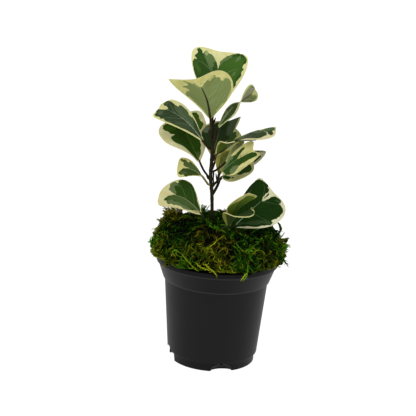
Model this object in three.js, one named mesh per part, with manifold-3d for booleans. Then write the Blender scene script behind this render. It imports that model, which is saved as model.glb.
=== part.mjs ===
// A variegated triangle fig growing in a black plastic nursery pot, the soil dressed with sheet moss.
// Millimetres, +Z up. The origin is the middle of the pot's resting face. The front is towards -Y.
// Every leaf is one solid: its blade, its midrib and its petiole, which ends just short of the stem.

import * as THREE from 'three';
import { mergeVertices } from 'three/addons/utils/BufferGeometryUtils.js';
import Module from 'manifold-3d';

const wasm = await Module();
wasm.setup();

const { Vector3 } = THREE;
const degrees = Math.PI / 180;

// Free space between two pieces that touch, and around what stands in a hole.
const gap = 0.35;

// Pot: a 4 inch nursery pot, moulded with one even wall.
const pot = {
  height: 95,
  wall: 1.5,
  sides: 46,
  footRadius: 37.9,
  footHeight: 8.2,
  bottomRadius: 40.1,
  bodyTopRadius: 45.8,
  bodyTop: 74.5,
  collarRadius: 47.4,
  collarTopRadius: 52.6,
  lipRadius: 54,
  lipHeight: 5,
  floorUnderside: 2.5,
};

// Four drainage scoops in the pot's bottom corner, a quarter turn apart.
const scoop = {
  count: 4,
  firstAngle: 15,
  centreRadius: 39.8,
  centreHeight: -1.2,
  halfWidth: 11.5,
  halfHeight: 10.5,
  depth: 6,
  holeRadius: 3,
};

// Soil and moss.
const soilTop = 86;
const mossBase = soilTop + gap;
const moss = {
  sectors: 44,
  overhang: 56,
  sideOverhang: 3,
  backTuck: 2.6,
  clumps: 90,
  strands: 38,
  strandRadius: 0.95,
  seed: 41,
};

// Main stem, from its foot in the soil to the bud, with its radius at each point.
const stemRoute = [
  [-5.2, 0, 52, 1.9], [-5.8, 0, 86, 1.8], [-6.4, 0, 110, 1.55], [-7.1, 0, 131, 1.4],
  [-8, 0, 146, 1.4], [-9.1, 0, 156, 1.45], [-10.2, 0, 163, 1.45], [-10.5, 0, 171, 1.5],
  [-10.3, 0, 181, 1.45], [-10.4, 0, 190.5, 1.5], [-11.1, 0, 198.5, 1.5], [-11.5, 0, 206.5, 1.5],
  [-11.7, 0, 213.5, 1.3],
];

// Side shoots: two side branches, a spur and a twig between them, the bud and one stipule.
const branches = [
  [[-9.3, 0, 155.5, 1.2], [-6.4, -0.6, 160, 1.1], [-3.6, -0.8, 163, 1.1], [-1.6, -1, 165.4, 1]],
  [[-8.2, 0, 149, 1.3], [-5.2, 1.4, 155, 1.3], [-3.2, 1.2, 160, 1.2], [-2, 0, 164.6, 1]],
  [[-10.3, 0.3, 170.8, 0.9], [-8.1, 1.2, 169.4, 0.8], [-8, 1.4, 164.5, 0.7], [-7.3, 0.4, 158.8, 0.7]],
  [[-4.4, -0.4, 162.5, 0.8], [-5.3, -1.4, 166, 0.7], [-5.9, -2, 169.5, 0.5]],
  [[-11.7, 0, 211, 1.1], [-10.2, 0.4, 215, 0.9], [-8.9, 0.8, 218.3, 0.4]],
  [[-10.6, 0, 163, 0.8], [-13.2, -1, 165.6, 0.8], [-14.2, -1.6, 169.6, 0.4]],
];

// Leaves. base, tip and petiole are points; upper is the way the upper side looks at the base.
// Where a value has two numbers, the first is the left half's and the second the right half's,
// seen on the upper side with the base below. wide is the half width, shoulder is where along
// the leaf it is widest, straight says how straight the side margins run, corner how square the
// far corners are, lift how far the corners reach past the tip. Angles are in degrees.
const leafDefaults = {
  shoulder: [0.76, 0.76], straight: [3.6, 3.6], corner: [2.4, 2.4], lift: [0, 0],
  fold: [12, 12], foldAtTip: [7, 7], rollAtTip: [0, 0],
  arch: 0, sweep: 0, twist: 0, twistFrom: 0, twistTo: 1,
};
const leaves = [
  {
    name: 'leaf_top_back', base: [-11.7, 2.6, 218.5], tip: [-8.9, 21.8, 272.2], upper: [0.31, -0.9, 0.1],
    wide: [26.3, 25.6], shoulder: [0.8, 0.85], straight: [5.3, 5.2], corner: [2.3, 2.8],
    lift: [7, 4.2], fold: [23, 14], foldAtTip: [3, 10], arch: -7,
    petiole: [[-11.7, 2.2, 209.5], [-11.8, 3.4, 213.5]],
  },
  {
    name: 'leaf_top_front', base: [-13.6, -3, 217.8], tip: [-27.3, -14.3, 253.5], upper: [0.17, 0.98, 0.14],
    wide: [26.1, 24.7], shoulder: [0.66, 0.97], straight: [3.3, 6], corner: [2.1, 1.3],
    lift: [14, 5.3], fold: [11, 22], foldAtTip: [8, 7], sweep: -2.8,
    petiole: [[-12.1, -2.2, 207.5], [-12.9, -3, 212]],
  },
  {
    name: 'leaf_upper_right', base: [-6.9, -2.6, 209.3], tip: [24.1, -6.2, 244.5], upper: [-0.39, -0.81, 0.1],
    wide: [6.6, 8.6], shoulder: [0.89, 0.77], straight: [2.4, 3.6], corner: [2.3, 2],
    lift: [-2.3, 11.3], fold: [15, 17], foldAtTip: [-18, -16], sweep: -3.7,
    twist: 168, twistFrom: 0.25, twistTo: 1.08, petiole: [[-9.6, -1.5, 199.4], [-8.2, -2.4, 204]],
  },
  {
    name: 'leaf_left_upper', base: [-19.2, -5, 198.5], tip: [-57, -11.5, 227.2], upper: [0.54, -0.57, 0.63],
    wide: [16.8, 14.3], shoulder: [0.88, 0.95], straight: [2.2, 1.9], corner: [2.7, 2.5],
    lift: [5.8, -5.4], fold: [15, 17], foldAtTip: [4, 3], sweep: 5.8,
    petiole: [[-12.3, -1.2, 190.6], [-15.4, -3.2, 193.8]],
  },
  {
    name: 'leaf_left_middle', base: [-20.6, 2, 177.9], tip: [-41.7, 11.3, 214.7], upper: [0.48, -0.63, 0.42],
    wide: [27.4, 23.1], shoulder: [0.61, 0.81], straight: [6.2, 2], corner: [2.6, 2.2],
    lift: [3.9, 3.2], fold: [50, 16], foldAtTip: [-15, 7],
    petiole: [[-12.3, 0.6, 165.4], [-16.8, 1.2, 171]],
  },
  {
    name: 'leaf_behind_stem', base: [-10.3, 5.4, 182.5], tip: [-3.2, 17.7, 211.8],
    upper: [-0.19, -0.96, 0.33],
    wide: [15.2, 15.6], shoulder: [0.62, 0.95], straight: [3.3, 7.4], corner: [2.1, 1.7],
    lift: [-4.3, 10.3], fold: [14, 16], foldAtTip: [10, 12],
    petiole: [[-10.2, 2.1, 176.5], [-10.3, 3.6, 179.5]],
  },
  {
    name: 'leaf_right_rear', base: [-6.5, 10.5, 180.5], tip: [6.7, 20.6, 206.8], upper: [0.06, -1, 0.27],
    wide: [12, 11.5], shoulder: [0.75, 0.83], lift: [0, -2.1], sweep: 1.2,
    petiole: [[-9.2, 2.1, 172.6], [-8, 6, 176]],
  },
  {
    name: 'leaf_right_upper', base: [-7.5, -2.2, 185.7], tip: [42.9, -6.9, 211.9], upper: [-0.08, 0.87, 0.44],
    wide: [15, 19.8], shoulder: [0.97, 0.41], straight: [3.1, 3.2], corner: [2.2, 2.6],
    lift: [0.5, 0.6], fold: [6, 38], foldAtTip: [-2, -18], arch: -3, sweep: 5.4,
    twist: -64, twistFrom: -0.02, twistTo: 0.33,
    petiole: [[-9.2, -1.7, 181], [-8.6, -2.2, 183]],
  },
  {
    name: 'leaf_right_inner', base: [-3.6, 1.4, 167.6], tip: [5.6, 7.8, 189.4], upper: [-0.49, 0.8, 0.31],
    wide: [5, 5.2], shoulder: [0.59, 0.63], straight: [2.4, 2.3], corner: [1.6, 2],
    lift: [1, -1.2], fold: [15, 8], foldAtTip: [10, 4], sweep: 5.3,
    petiole: [[-4.1, 3, 163.4], [-3.8, 2.2, 165.4]],
  },
  {
    name: 'leaf_right_middle', base: [1.5, -9.5, 181.3], tip: [16.4, -6.8, 200.5],
    upper: [-0.72, -0.27, 0.18],
    wide: [5, 5], shoulder: [0.74, 0.77], straight: [3.5, 3.5], lift: [-1.4, 0.8], fold: [29, 12],
    foldAtTip: [7, 14], sweep: -0.9,
    petiole: [[-9.4, -1.2, 170.6], [-5.8, -5, 173.4], [-0.8, -9, 179]],
  },
  {
    name: 'leaf_right_front', base: [-2.3, -15, 173.5], tip: [24.3, -25.4, 198.1],
    upper: [-0.45, -0.71, 0.65],
    wide: [8.6, 13.4], shoulder: [0.72, 0.46], straight: [5, 2.7], corner: [2.2, 3.7],
    lift: [12.3, 16], fold: [17, 0], foldAtTip: [6, 15], sweep: -1.5,
    petiole: [[-3.7, -2.6, 163.4], [-3.4, -8.5, 167.8]],
  },
  {
    name: 'leaf_right_low', base: [-0.9, -4, 167.1], tip: [26.2, -5.2, 180.4], upper: [-0.11, -0.47, 0.91],
    wide: [8, 15.8], shoulder: [0.75, 0.43], straight: [3, 1.3], lift: [0, 1.6], fold: [12, 13],
    foldAtTip: [7, 9], sweep: -0.8,
    petiole: [[-1.4, -1.4, 164.6], [-1.2, -2.8, 165.8]],
  },
  {
    name: 'leaf_right_far', base: [2.7, 8.5, 167.9], tip: [36.3, 12.2, 188.8], upper: [-0.15, -0.48, 0.91],
    wide: [8.8, 9.6], shoulder: [0.73, 0.65], straight: [3.6, 3.3], corner: [1.2, 1.7],
    lift: [-2, -1], fold: [13, 9], foldAtTip: [7, 13], sweep: 0.9,
    petiole: [[-2.2, 2.2, 162.8], [-0.2, 5.6, 164.8]],
  },
  {
    name: 'leaf_left_small', base: [-17.5, -2, 166.2], tip: [-39.5, -7.1, 173], upper: [0.39, -0.74, 0.65],
    wide: [9.5, 10], shoulder: [0.82, 0.87], straight: [3.6, 3.2], lift: [0, 1.3], fold: [12, 12],
    foldAtTip: [6, 6], sweep: 3.3, petiole: [[-11.9, -0.9, 159], [-14.2, -2, 162]],
  },
  {
    name: 'leaf_left_low', base: [-16.1, -8, 133.6], tip: [-53.4, -18.5, 151.8], upper: [0.51, -0.77, 0.63],
    wide: [12.2, 16.5], shoulder: [0.84, 0.48], straight: [1.4, 3], corner: [2.3, 2.6],
    lift: [1.5, -3.6], fold: [-11, 6.5], foldAtTip: [0, 8], sweep: 7,
    petiole: [[-8.2, -1.2, 112], [-11.6, -4.6, 124]],
  },
  {
    name: 'leaf_right_large', base: [12.1, -22, 128.2], tip: [44.2, -17, 160.5], upper: [-0.08, -0.99, 0.28],
    wide: [17, 23.4], shoulder: [0.89, 0.66], straight: [3.4, 3.5], corner: [2, 2],
    lift: [3.9, 9.3], fold: [11, 9], foldAtTip: [5, 4], sweep: -0.8,
    petiole: [[-4.4, -1.4, 107], [3.2, -10, 116]],
  },
  {
    name: 'leaf_right_cupped', base: [7.9, -26.6, 130.9], tip: [23.5, -27.5, 160.7],
    upper: [-0.17, 0.5, 0.53],
    wide: [11.2, 7.9], shoulder: [0.95, 0.46], straight: [8, 2.1], corner: [1.6, 1.3],
    lift: [1, 0], fold: [41, 11], foldAtTip: [-1, 7], sweep: 4.2,
    petiole: [[-5.4, -2.1, 104], [-1, -13, 115]],
  },
  {
    name: 'leaf_right_rolled', base: [7.2, -31, 131], tip: [12, -44.2, 144], upper: [0, 0.8, 0.6],
    wide: [23, 8.5], shoulder: [0.9, 0.6], straight: [7, 2.4], corner: [1.6, 2], lift: [2, 2],
    fold: [70, 5], foldAtTip: [0, 0], rollAtTip: [300, 0], arch: 85,
    petiole: [[-7.2, -2.1, 108], [-4.6, -17.4, 119]],
  },
];

const blade = { rows: 8, columns: 8, thickness: 0.7, ridge: 0.5, petioleRadius: 0.8 };

// Seeded random numbers, from 0 to 1.
function randomSource(seed) {
  let state = seed >>> 0;
  return () => {
    state = (state + 0x6d2b79f5) >>> 0;
    let value = Math.imul(state ^ (state >>> 15), 1 | state);
    value = (value + Math.imul(value ^ (value >>> 7), 61 | value)) ^ value;
    return ((value ^ (value >>> 14)) >>> 0) / 4294967296;
  };
}

// A closed solid from a list of points and a list of triangles. Faces are turned to point out.
function solidFrom(points, triangles) {
  let volume = 0;
  for (const [a, b, c] of triangles) {
    volume += points[a].dot(new Vector3().crossVectors(points[b], points[c]));
  }
  const outward = volume < 0 ? triangles.map(([a, b, c]) => [a, c, b]) : triangles;
  return new wasm.Manifold(new wasm.Mesh({
    numProp: 3,
    vertProperties: new Float32Array(points.flatMap((p) => [p.x, p.y, p.z])),
    triVerts: new Uint32Array(outward.flat()),
  }));
}

// A closed solid from a three.js geometry.
function solidFromGeometry(geometry) {
  const bare = geometry.clone();
  bare.deleteAttribute('normal');
  bare.deleteAttribute('uv');
  const merged = mergeVertices(bare, 1e-4);
  const position = merged.getAttribute('position');
  const points = Array.from(
    { length: position.count }, (_, i) => new Vector3().fromBufferAttribute(position, i));
  const triangles = [];
  for (let i = 0; i < merged.index.count; i += 3) {
    const [a, b, c] = [merged.index.getX(i), merged.index.getX(i + 1), merged.index.getX(i + 2)];
    if (a !== b && b !== c && c !== a) triangles.push([a, b, c]);
  }
  return solidFrom(points, triangles);
}

// A solid of revolution about Z, from [radius, height] points.
function turned(profile, sides) {
  const lathe = new THREE.LatheGeometry(profile.map(([r, z]) => new THREE.Vector2(r, z)), sides);
  return solidFromGeometry(lathe.rotateX(Math.PI / 2));
}

// A round rod along a smooth route of [x, y, z, radius] points, closed at both ends.
function rod(route, sides, steps, extra = 0) {
  const places = route.map(([x, y, z]) => new Vector3(x, y, z));
  const stretch = (end, next) => end.addScaledVector(end.clone().sub(next).normalize(), extra);
  if (extra > 0) {
    stretch(places[0], places[1]);
    stretch(places.at(-1), places.at(-2));
  }
  const curve = new THREE.CatmullRomCurve3(places, false, 'centripetal');
  const frames = curve.computeFrenetFrames(steps, false);
  const points = [];
  const triangles = [];
  for (let i = 0; i <= steps; i++) {
    const share = curve.getUtoTmapping(i / steps) * (route.length - 1);
    const at = Math.min(Math.floor(share), route.length - 2);
    const radius = THREE.MathUtils.lerp(route[at][3], route[at + 1][3], share - at) + extra;
    const middle = curve.getPointAt(i / steps);
    for (let k = 0; k < sides; k++) {
      const turn = (2 * Math.PI * k) / sides;
      points.push(middle.clone()
        .addScaledVector(frames.normals[i], radius * Math.cos(turn))
        .addScaledVector(frames.binormals[i], radius * Math.sin(turn)));
    }
  }
  for (let i = 0; i < steps; i++) {
    for (let k = 0; k < sides; k++) {
      const a = i * sides + k;
      const b = i * sides + ((k + 1) % sides);
      triangles.push([a, b, b + sides], [a, b + sides, a + sides]);
    }
  }
  const last = steps * sides;
  for (let k = 1; k < sides - 1; k++) triangles.push([0, k + 1, k], [last, last + k, last + k + 1]);
  return solidFrom(points, triangles);
}

// The largest body of a solid, without loose scraps.
function largestBody(solid) {
  return solid.decompose().sort((a, b) => b.volume() - a.volume())[0];
}

// Width of one half of a leaf at s along it, as a share of its widest.
function marginShare(s, leaf, half) {
  const shoulder = leaf.shoulder[half];
  const straight = leaf.straight[half];
  const corner = leaf.corner[half];
  if (s <= shoulder) {
    const u = s / shoulder;
    return 0.03 + (0.97 * (straight * u - u ** straight)) / (straight - 1);
  }
  const u = Math.min((s - shoulder) / (1 - shoulder), 1);
  return Math.max((1 - u ** corner) ** (1 / corner), s >= 1 ? 0.1 : 0);
}

// The middle surface of a leaf's blade: rows of points from base to tip, across from left to right.
function bladeGrid(leaf, rows, columns) {
  const base = new Vector3(...leaf.base);
  const along = new Vector3(...leaf.tip).sub(base);
  const length = along.length();
  along.normalize();
  const up = new Vector3(...leaf.upper);
  up.addScaledVector(along, -up.dot(along)).normalize();
  const across = new Vector3().crossVectors(along, up);

  // The midrib is an arc of leaf.arch degrees whose ends are the base and the tip.
  const arch = leaf.arch * degrees;
  const midrib = (s) => {
    if (Math.abs(arch) < 1e-6) return { y: length * s, z: 0, slope: 0 };
    const radius = length / (2 * Math.sin(arch / 2));
    const turn = arch * (0.5 - s);
    return {
      y: length / 2 - radius * Math.sin(turn),
      z: radius * (Math.cos(turn) - Math.cos(arch / 2)),
      slope: turn,
    };
  };

  const grid = [];
  for (let i = 0; i <= rows; i++) {
    const s = 1 - (1 - i / rows) ** 1.5;
    const { y, z, slope } = midrib(s);
    const v = Math.min(Math.max((s - leaf.twistFrom) / (leaf.twistTo - leaf.twistFrom), 0), 1);
    const twist = leaf.twist * degrees * v * v * (3 - 2 * v);
    const row = [];
    for (let j = 0; j <= columns; j++) {
      const t = (2 * j) / columns - 1;
      const half = t > 0 ? 1 : 0;
      const reach = Math.abs(t) * marginShare(s, leaf, half);
      const fold = (leaf.fold[half] + (leaf.foldAtTip[half] - leaf.fold[half]) * s) * degrees;
      const roll = leaf.rollAtTip[half] * s * degrees;
      let out = 0;
      let rise = 0;
      const steps = 12;
      for (let k = 0; k < steps; k++) {
        const q = (reach * (k + 0.5)) / steps;
        const angle = fold * Math.min(1, q / 0.15) + roll * q ** 4;
        out += (leaf.wide[half] * reach * Math.cos(angle)) / steps;
        rise += (leaf.wide[half] * reach * Math.sin(angle)) / steps;
      }
      if (!half) out = -out;
      const side = out * Math.cos(twist) - rise * Math.sin(twist);
      const lift = out * Math.sin(twist) + rise * Math.cos(twist);
      const ahead = leaf.lift[half] * reach ** 1.7 * s ** 3;
      row.push(base.clone()
        .addScaledVector(along, y + ahead * Math.cos(slope) - lift * Math.sin(slope))
        .addScaledVector(across, side + leaf.sweep * Math.sin(Math.PI * s))
        .addScaledVector(up, z + ahead * Math.sin(slope) + lift * Math.cos(slope)));
    }
    grid.push(row);
  }
  return grid;
}

// One leaf: the blade with its midrib standing proud below, fused with the petiole.
function leafSolid(spec, extra = 0) {
  const leaf = { ...leafDefaults, ...spec };
  const { rows, columns } = blade;
  const grid = bladeGrid(leaf, rows, columns);
  if (extra > 0) {
    const push = (edge, inner) => edge.addScaledVector(edge.clone().sub(inner).normalize(), extra);
    for (const row of grid) {
      push(row[0], row[1]);
      push(row[columns], row[columns - 1]);
    }
    grid[rows].forEach((point, j) => push(point, grid[rows - 1][j]));
  }
  const width = columns + 1;
  const layer = (rows + 1) * width;
  const top = [];
  const bottom = [];
  for (let i = 0; i <= rows; i++) {
    for (let j = 0; j <= columns; j++) {
      const onward = grid[Math.min(i + 1, rows)][j].clone().sub(grid[Math.max(i - 1, 0)][j]);
      const sideways = grid[i][Math.min(j + 1, columns)].clone().sub(grid[i][Math.max(j - 1, 0)]);
      const normal = new Vector3().crossVectors(sideways, onward).normalize();
      const ridge = j === columns / 2 ? blade.ridge * (1 - i / rows) : 0;
      top.push(grid[i][j].clone().addScaledVector(normal, blade.thickness / 2 + extra));
      bottom.push(grid[i][j].clone().addScaledVector(normal, -blade.thickness / 2 - ridge - extra));
    }
  }
  const triangles = [];
  for (let i = 0; i < rows; i++) {
    for (let j = 0; j < columns; j++) {
      const a = i * width + j;
      const [b, c, d] = [a + 1, a + width, a + width + 1];
      triangles.push([a, b, d], [a, d, c]);
      triangles.push([a + layer, d + layer, b + layer], [a + layer, c + layer, d + layer]);
    }
  }
  const rim = [];
  for (let j = 0; j < columns; j++) rim.push(j);
  for (let i = 0; i < rows; i++) rim.push(i * width + columns);
  for (let j = columns; j > 0; j--) rim.push(rows * width + j);
  for (let i = rows; i > 0; i--) rim.push(i * width);
  rim.forEach((a, k) => {
    const b = rim[(k + 1) % rim.length];
    triangles.push([a, a + layer, b + layer], [a, b + layer, b]);
  });
  const middle = columns / 2;
  const radius = blade.petioleRadius;
  const route = [
    ...leaf.petiole.map((p) => [...p, radius]),
    [...leaf.base, radius],
    [...grid[1][middle].toArray(), radius * 0.6],
  ];
  const stalk = rod(route, 5, 3 + leaf.petiole.length, extra);
  const whole = solidFrom([...top, ...bottom], triangles).add(stalk);
  return extra > 0 ? whole : largestBody(whole.subtract(stemSolid(gap)));
}

// Pot.
const potInside = [
  [0, pot.floorUnderside + pot.wall],
  [pot.footRadius - pot.wall, pot.floorUnderside + pot.wall],
  [pot.footRadius - pot.wall, pot.footHeight - 0.6],
  [pot.bottomRadius - pot.wall, pot.footHeight + 0.9],
  [pot.bodyTopRadius - pot.wall, pot.bodyTop - 0.5],
  [pot.collarRadius - pot.wall, pot.bodyTop + 0.9],
  [pot.collarTopRadius - pot.wall, pot.height - pot.lipHeight],
  [pot.collarTopRadius - pot.wall + 0.3, pot.height],
];
const potOutside = [
  [0, pot.floorUnderside],
  [pot.footRadius - pot.wall - 1.2, pot.floorUnderside],
  [pot.footRadius - pot.wall - 0.6, 0],
  [pot.footRadius, 0],
  [pot.footRadius, pot.footHeight - 0.7],
  [pot.bottomRadius, pot.footHeight],
  [pot.bodyTopRadius, pot.bodyTop],
  [pot.collarRadius, pot.bodyTop + 0.4],
  [pot.collarTopRadius, pot.height - pot.lipHeight],
  [pot.lipRadius, pot.height - pot.lipHeight + 0.4],
  [pot.lipRadius, pot.height - 0.5],
  [pot.lipRadius - 0.5, pot.height],
];

// An egg-shaped cutter for one drainage scoop, larger all round by extra.
function scoopShape(angle, extra) {
  const egg = new THREE.SphereGeometry(1, 14, 6);
  egg.rotateX(Math.PI / 2);
  egg.scale(scoop.depth + extra, scoop.halfWidth + extra, scoop.halfHeight + extra);
  egg.translate(scoop.centreRadius, 0, scoop.centreHeight);
  return solidFromGeometry(egg.rotateZ(angle));
}
const scoopAngles = Array.from(
  { length: scoop.count }, (_, k) => (scoop.firstAngle + (360 / scoop.count) * k) * degrees);

function potSolid() {
  const outer = turned([...potOutside, [0, pot.height]], pot.sides);
  const above = pot.height + 5;
  const hollow = turned([...potInside, [potInside.at(-1)[0], above], [0, above]], pot.sides);
  let body = outer.subtract(hollow);
  for (const angle of scoopAngles) body = body.add(scoopShape(angle, pot.wall).intersect(outer));
  for (const angle of scoopAngles) {
    body = body.subtract(scoopShape(angle, 0));
    const drill = new THREE.CylinderGeometry(scoop.holeRadius, scoop.holeRadius, 14, 12);
    drill.rotateZ(Math.PI / 2).translate(scoop.centreRadius - 6, 0, 5.4).rotateZ(angle);
    body = body.subtract(solidFromGeometry(drill));
  }
  return largestBody(body);
}

function stemSolid(extra = 0) {
  let body = rod(stemRoute, 7, 22, extra);
  for (const route of branches) body = body.add(rod(route, 5, 5, extra));
  return largestBody(body);
}

function soilSolid() {
  const inside = potInside.slice(1).map(([r, z]) => [r - gap, z + gap * 0.8]);
  const profile = [[0, potInside[0][1] + gap], [inside[0][0], potInside[0][1] + gap]];
  for (const [r, z] of inside.slice(1)) if (z < soilTop) profile.push([r, z]);
  const below = inside.filter(([, z]) => z < soilTop).pop();
  const above = inside.find(([, z]) => z >= soilTop);
  const share = (soilTop - below[1]) / (above[1] - below[1]);
  profile.push([below[0] + (above[0] - below[0]) * share - 0.2, soilTop], [0, soilTop]);
  let body = turned(profile, pot.sides);
  for (const angle of scoopAngles) body = body.subtract(scoopShape(angle, pot.wall + gap));
  return body.subtract(stemSolid(gap));
}

// Sheet moss: a mound that fills the pot's mouth and stands over its lip, lumpy with clumps,
// with loose strands rooted in it.
function mossSolid(lowLeaves) {
  const random = randomSource(moss.seed);
  const insideRadius = pot.collarTopRadius - pot.wall - gap - 0.3;
  const clumps = Array.from({ length: moss.clumps }, () => {
    const angle = random() * 2 * Math.PI;
    const r = 58 * Math.sqrt(random());
    const size = 3.5 + 4 * random();
    return { x: r * Math.cos(angle), y: r * Math.sin(angle), size, height: -1.8 + 5.4 * random() };
  });
  clumps.push(
    { x: -45, y: 12, size: 9, height: 8 },
    { x: 30, y: -26, size: 14, height: -4 },
    { x: -24, y: -22, size: 12, height: -3 });
  const relief = (x, y) => clumps.reduce(
    (sum, c) => sum + c.height * Math.exp(-((x - c.x) ** 2 + (y - c.y) ** 2) / c.size ** 2), 0);
  const waves = (angle) => Math.sin(5 * angle) + 0.8 * Math.sin(11 * angle + 1);
  const reach = (angle) => moss.overhang + moss.sideOverhang * Math.cos(angle) ** 2
    - moss.backTuck * Math.max(0, Math.sin(angle)) + waves(angle);

  // [share of the reach, height, how much of the relief shows]
  const crown = [
    [0.13, 126, 1], [0.27, 126.4, 1], [0.41, 126, 1], [0.54, 125, 1], [0.66, 123, 1],
    [0.77, 120, 1], [0.86, 115.5, 0.9], [0.935, 109.5, 0.7], [0.985, 103, 0.5], [1, 97.6, 0.2],
  ];
  const hidden = [
    [pot.lipRadius + 0.4, pot.height + gap + 0.2], [insideRadius - 0.4, pot.height + gap],
    [insideRadius - 0.4, pot.height - pot.lipHeight], [insideRadius - 1.4, mossBase],
  ];
  const { sectors } = moss;
  const points = [new Vector3(0, 0, 126)];
  for (const [share, z, shown] of crown) {
    for (let k = 0; k < sectors; k++) {
      const angle = (2 * Math.PI * k) / sectors;
      const r = share * reach(angle);
      const bump = relief(r * Math.cos(angle), r * Math.sin(angle)) * shown;
      const outward = Math.max(0, share - 0.75) * 1.5 * bump;
      points.push(new Vector3((r + outward) * Math.cos(angle), (r + outward) * Math.sin(angle), z + bump));
    }
  }
  for (const [r, z] of hidden) {
    for (let k = 0; k < sectors; k++) {
      const angle = (2 * Math.PI * k) / sectors;
      points.push(new Vector3(r * Math.cos(angle), r * Math.sin(angle), z));
    }
  }
  points.push(new Vector3(0, 0, mossBase));
  const triangles = [];
  const ringCount = crown.length + hidden.length;
  const at = (ring, k) => 1 + ring * sectors + (k % sectors);
  for (let k = 0; k < sectors; k++) {
    triangles.push([0, at(0, k), at(0, k + 1)]);
    for (let ring = 0; ring < ringCount - 1; ring++) {
      const [a, b] = [at(ring, k), at(ring, k + 1)];
      const [c, d] = [at(ring + 1, k), at(ring + 1, k + 1)];
      triangles.push([a, c, d], [a, d, b]);
    }
    triangles.push([at(ringCount - 1, k + 1), at(ringCount - 1, k), points.length - 1]);
  }
  let body = solidFrom(points, triangles);

  // Strands: each starts inside the mound, comes out and bends over.
  const strand = (angle, share, length, lean) => {
    const r = share * reach(angle);
    const [x, y] = [r * Math.cos(angle), r * Math.sin(angle)];
    const z = 125 - 28 * share ** 5 + relief(x, y) * 0.6;
    const turn = angle + lean;
    const step = (d, rise) => [x + d * Math.cos(turn), y + d * Math.sin(turn), z + rise];
    const w = moss.strandRadius;
    const route = [
      [...step(-3, -5), w],
      [...step(0, 0.5), w],
      [...step(length * 0.4, 3.2), w],
      [...step(length * 0.8, 2), w * 0.7],
    ];
    return rod(route, 4, 4);
  };
  for (let k = 0; k < moss.strands; k++) {
    const angle = 2 * Math.PI * ((k * 0.618) % 1);
    const share = 0.45 + 0.5 * Math.sqrt(random());
    body = body.add(strand(angle, share, 9 + 7 * random(), (random() - 0.5) * 2.6));
  }
  // Strands that stand out on their own, at the right, the left and over the lip in front.
  const loose = [
    [[44, -12, 116, 1], [49, -10, 124, 0.9], [52.5, -9, 117, 0.9], [50, -8, 108, 0.8]],
    [[50, -4, 106, 1], [57.5, -2, 110, 0.9], [62, 0, 113.2, 0.6]],
    [[50, -20, 104, 1], [56.5, -18, 98, 0.9], [60, -17, 89, 0.7]],
    [[26, -44, 102, 1], [30, -52, 99, 0.9], [28.4, -55.6, 94, 0.9], [25.5, -56.4, 88.5, 0.7]],
    [[-3, -49, 104, 1], [-2.5, -54, 99, 1], [-2, -56.4, 95, 0.8]],
    [[-38, -30, 104, 1], [-42, -38, 99.5, 1], [-44.5, -39.8, 95, 0.8]],
    [[-50, -6, 106, 1], [-56.5, -6, 107.5, 1], [-60.5, -5, 104, 0.8]],
    [[-40, 10, 120, 1.4], [-46, 9, 130.5, 1.2], [-50.5, 8, 134, 0.8]],
  ];
  for (const route of loose) body = body.add(rod(route, 5, 7));
  body = body.subtract(stemSolid(2 * gap));
  for (const spec of lowLeaves) body = body.subtract(leafSolid(spec, 2 * gap));
  return largestBody(body);
}

// Materials.
const plastic = new THREE.MeshStandardMaterial({ color: '#27282a', roughness: 0.42, metalness: 0 });
const soilDark = new THREE.MeshStandardMaterial({ color: '#2a1d14', roughness: 0.95, metalness: 0 });
const mossGreen = new THREE.MeshStandardMaterial({ color: '#3c4a12', roughness: 0.95, metalness: 0 });
const bark = new THREE.MeshStandardMaterial({ color: '#3a2614', roughness: 0.8, metalness: 0 });
const leafGreen = new THREE.MeshStandardMaterial({ color: '#4a6a2c', roughness: 0.4, metalness: 0 });

function meshOf(name, solid, material) {
  const data = solid.getMesh();
  const geometry = new THREE.BufferGeometry();
  geometry.setAttribute('position', new THREE.BufferAttribute(data.vertProperties, 3));
  geometry.setIndex(new THREE.BufferAttribute(data.triVerts, 1));
  geometry.computeVertexNormals();
  const mesh = new THREE.Mesh(geometry, material);
  mesh.name = name;
  return mesh;
}

const plant = new THREE.Group();
plant.add(meshOf('pot', potSolid(), plastic));
plant.add(meshOf('potting_soil', soilSolid(), soilDark));
plant.add(meshOf('moss', mossSolid(leaves.filter((leaf) => leaf.base[2] < 140)), mossGreen));
plant.add(meshOf('stem', stemSolid(), bark));
for (const leaf of leaves) plant.add(meshOf(leaf.name, leafSolid(leaf), leafGreen));

export default plant;
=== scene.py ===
# A variegated triangle fig in a black nursery pot, the soil dressed with sheet moss.
# Tables are in millimetres, objects in metres. The front is towards -Y, and Z is up.

import math

import bpy
import numpy as np
from mathutils import Matrix, Vector
from mathutils.bvhtree import BVHTree


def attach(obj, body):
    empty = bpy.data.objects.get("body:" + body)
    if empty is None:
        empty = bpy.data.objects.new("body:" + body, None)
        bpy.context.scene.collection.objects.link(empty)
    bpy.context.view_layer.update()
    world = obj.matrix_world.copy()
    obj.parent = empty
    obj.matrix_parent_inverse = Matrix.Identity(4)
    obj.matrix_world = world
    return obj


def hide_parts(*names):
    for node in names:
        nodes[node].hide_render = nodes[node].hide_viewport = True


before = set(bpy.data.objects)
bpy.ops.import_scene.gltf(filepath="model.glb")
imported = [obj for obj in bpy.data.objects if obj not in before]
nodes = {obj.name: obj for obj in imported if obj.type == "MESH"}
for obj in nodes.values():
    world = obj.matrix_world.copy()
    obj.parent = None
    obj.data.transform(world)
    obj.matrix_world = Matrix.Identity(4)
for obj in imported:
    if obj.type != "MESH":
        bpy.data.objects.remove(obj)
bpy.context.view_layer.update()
mm = 0.001
# points nearer to each other than this, in metres, are one point
mergeWithin = 1e-6


# General helpers.

def linear(hexColour):
    # an sRGB hex colour as linear red, green, blue and alpha
    parts = [int(hexColour[i:i + 2], 16) / 255 for i in (1, 3, 5)]
    return [c / 12.92 if c <= 0.04045 else ((c + 0.055) / 1.055) ** 2.4 for c in parts] + [1.0]


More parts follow.
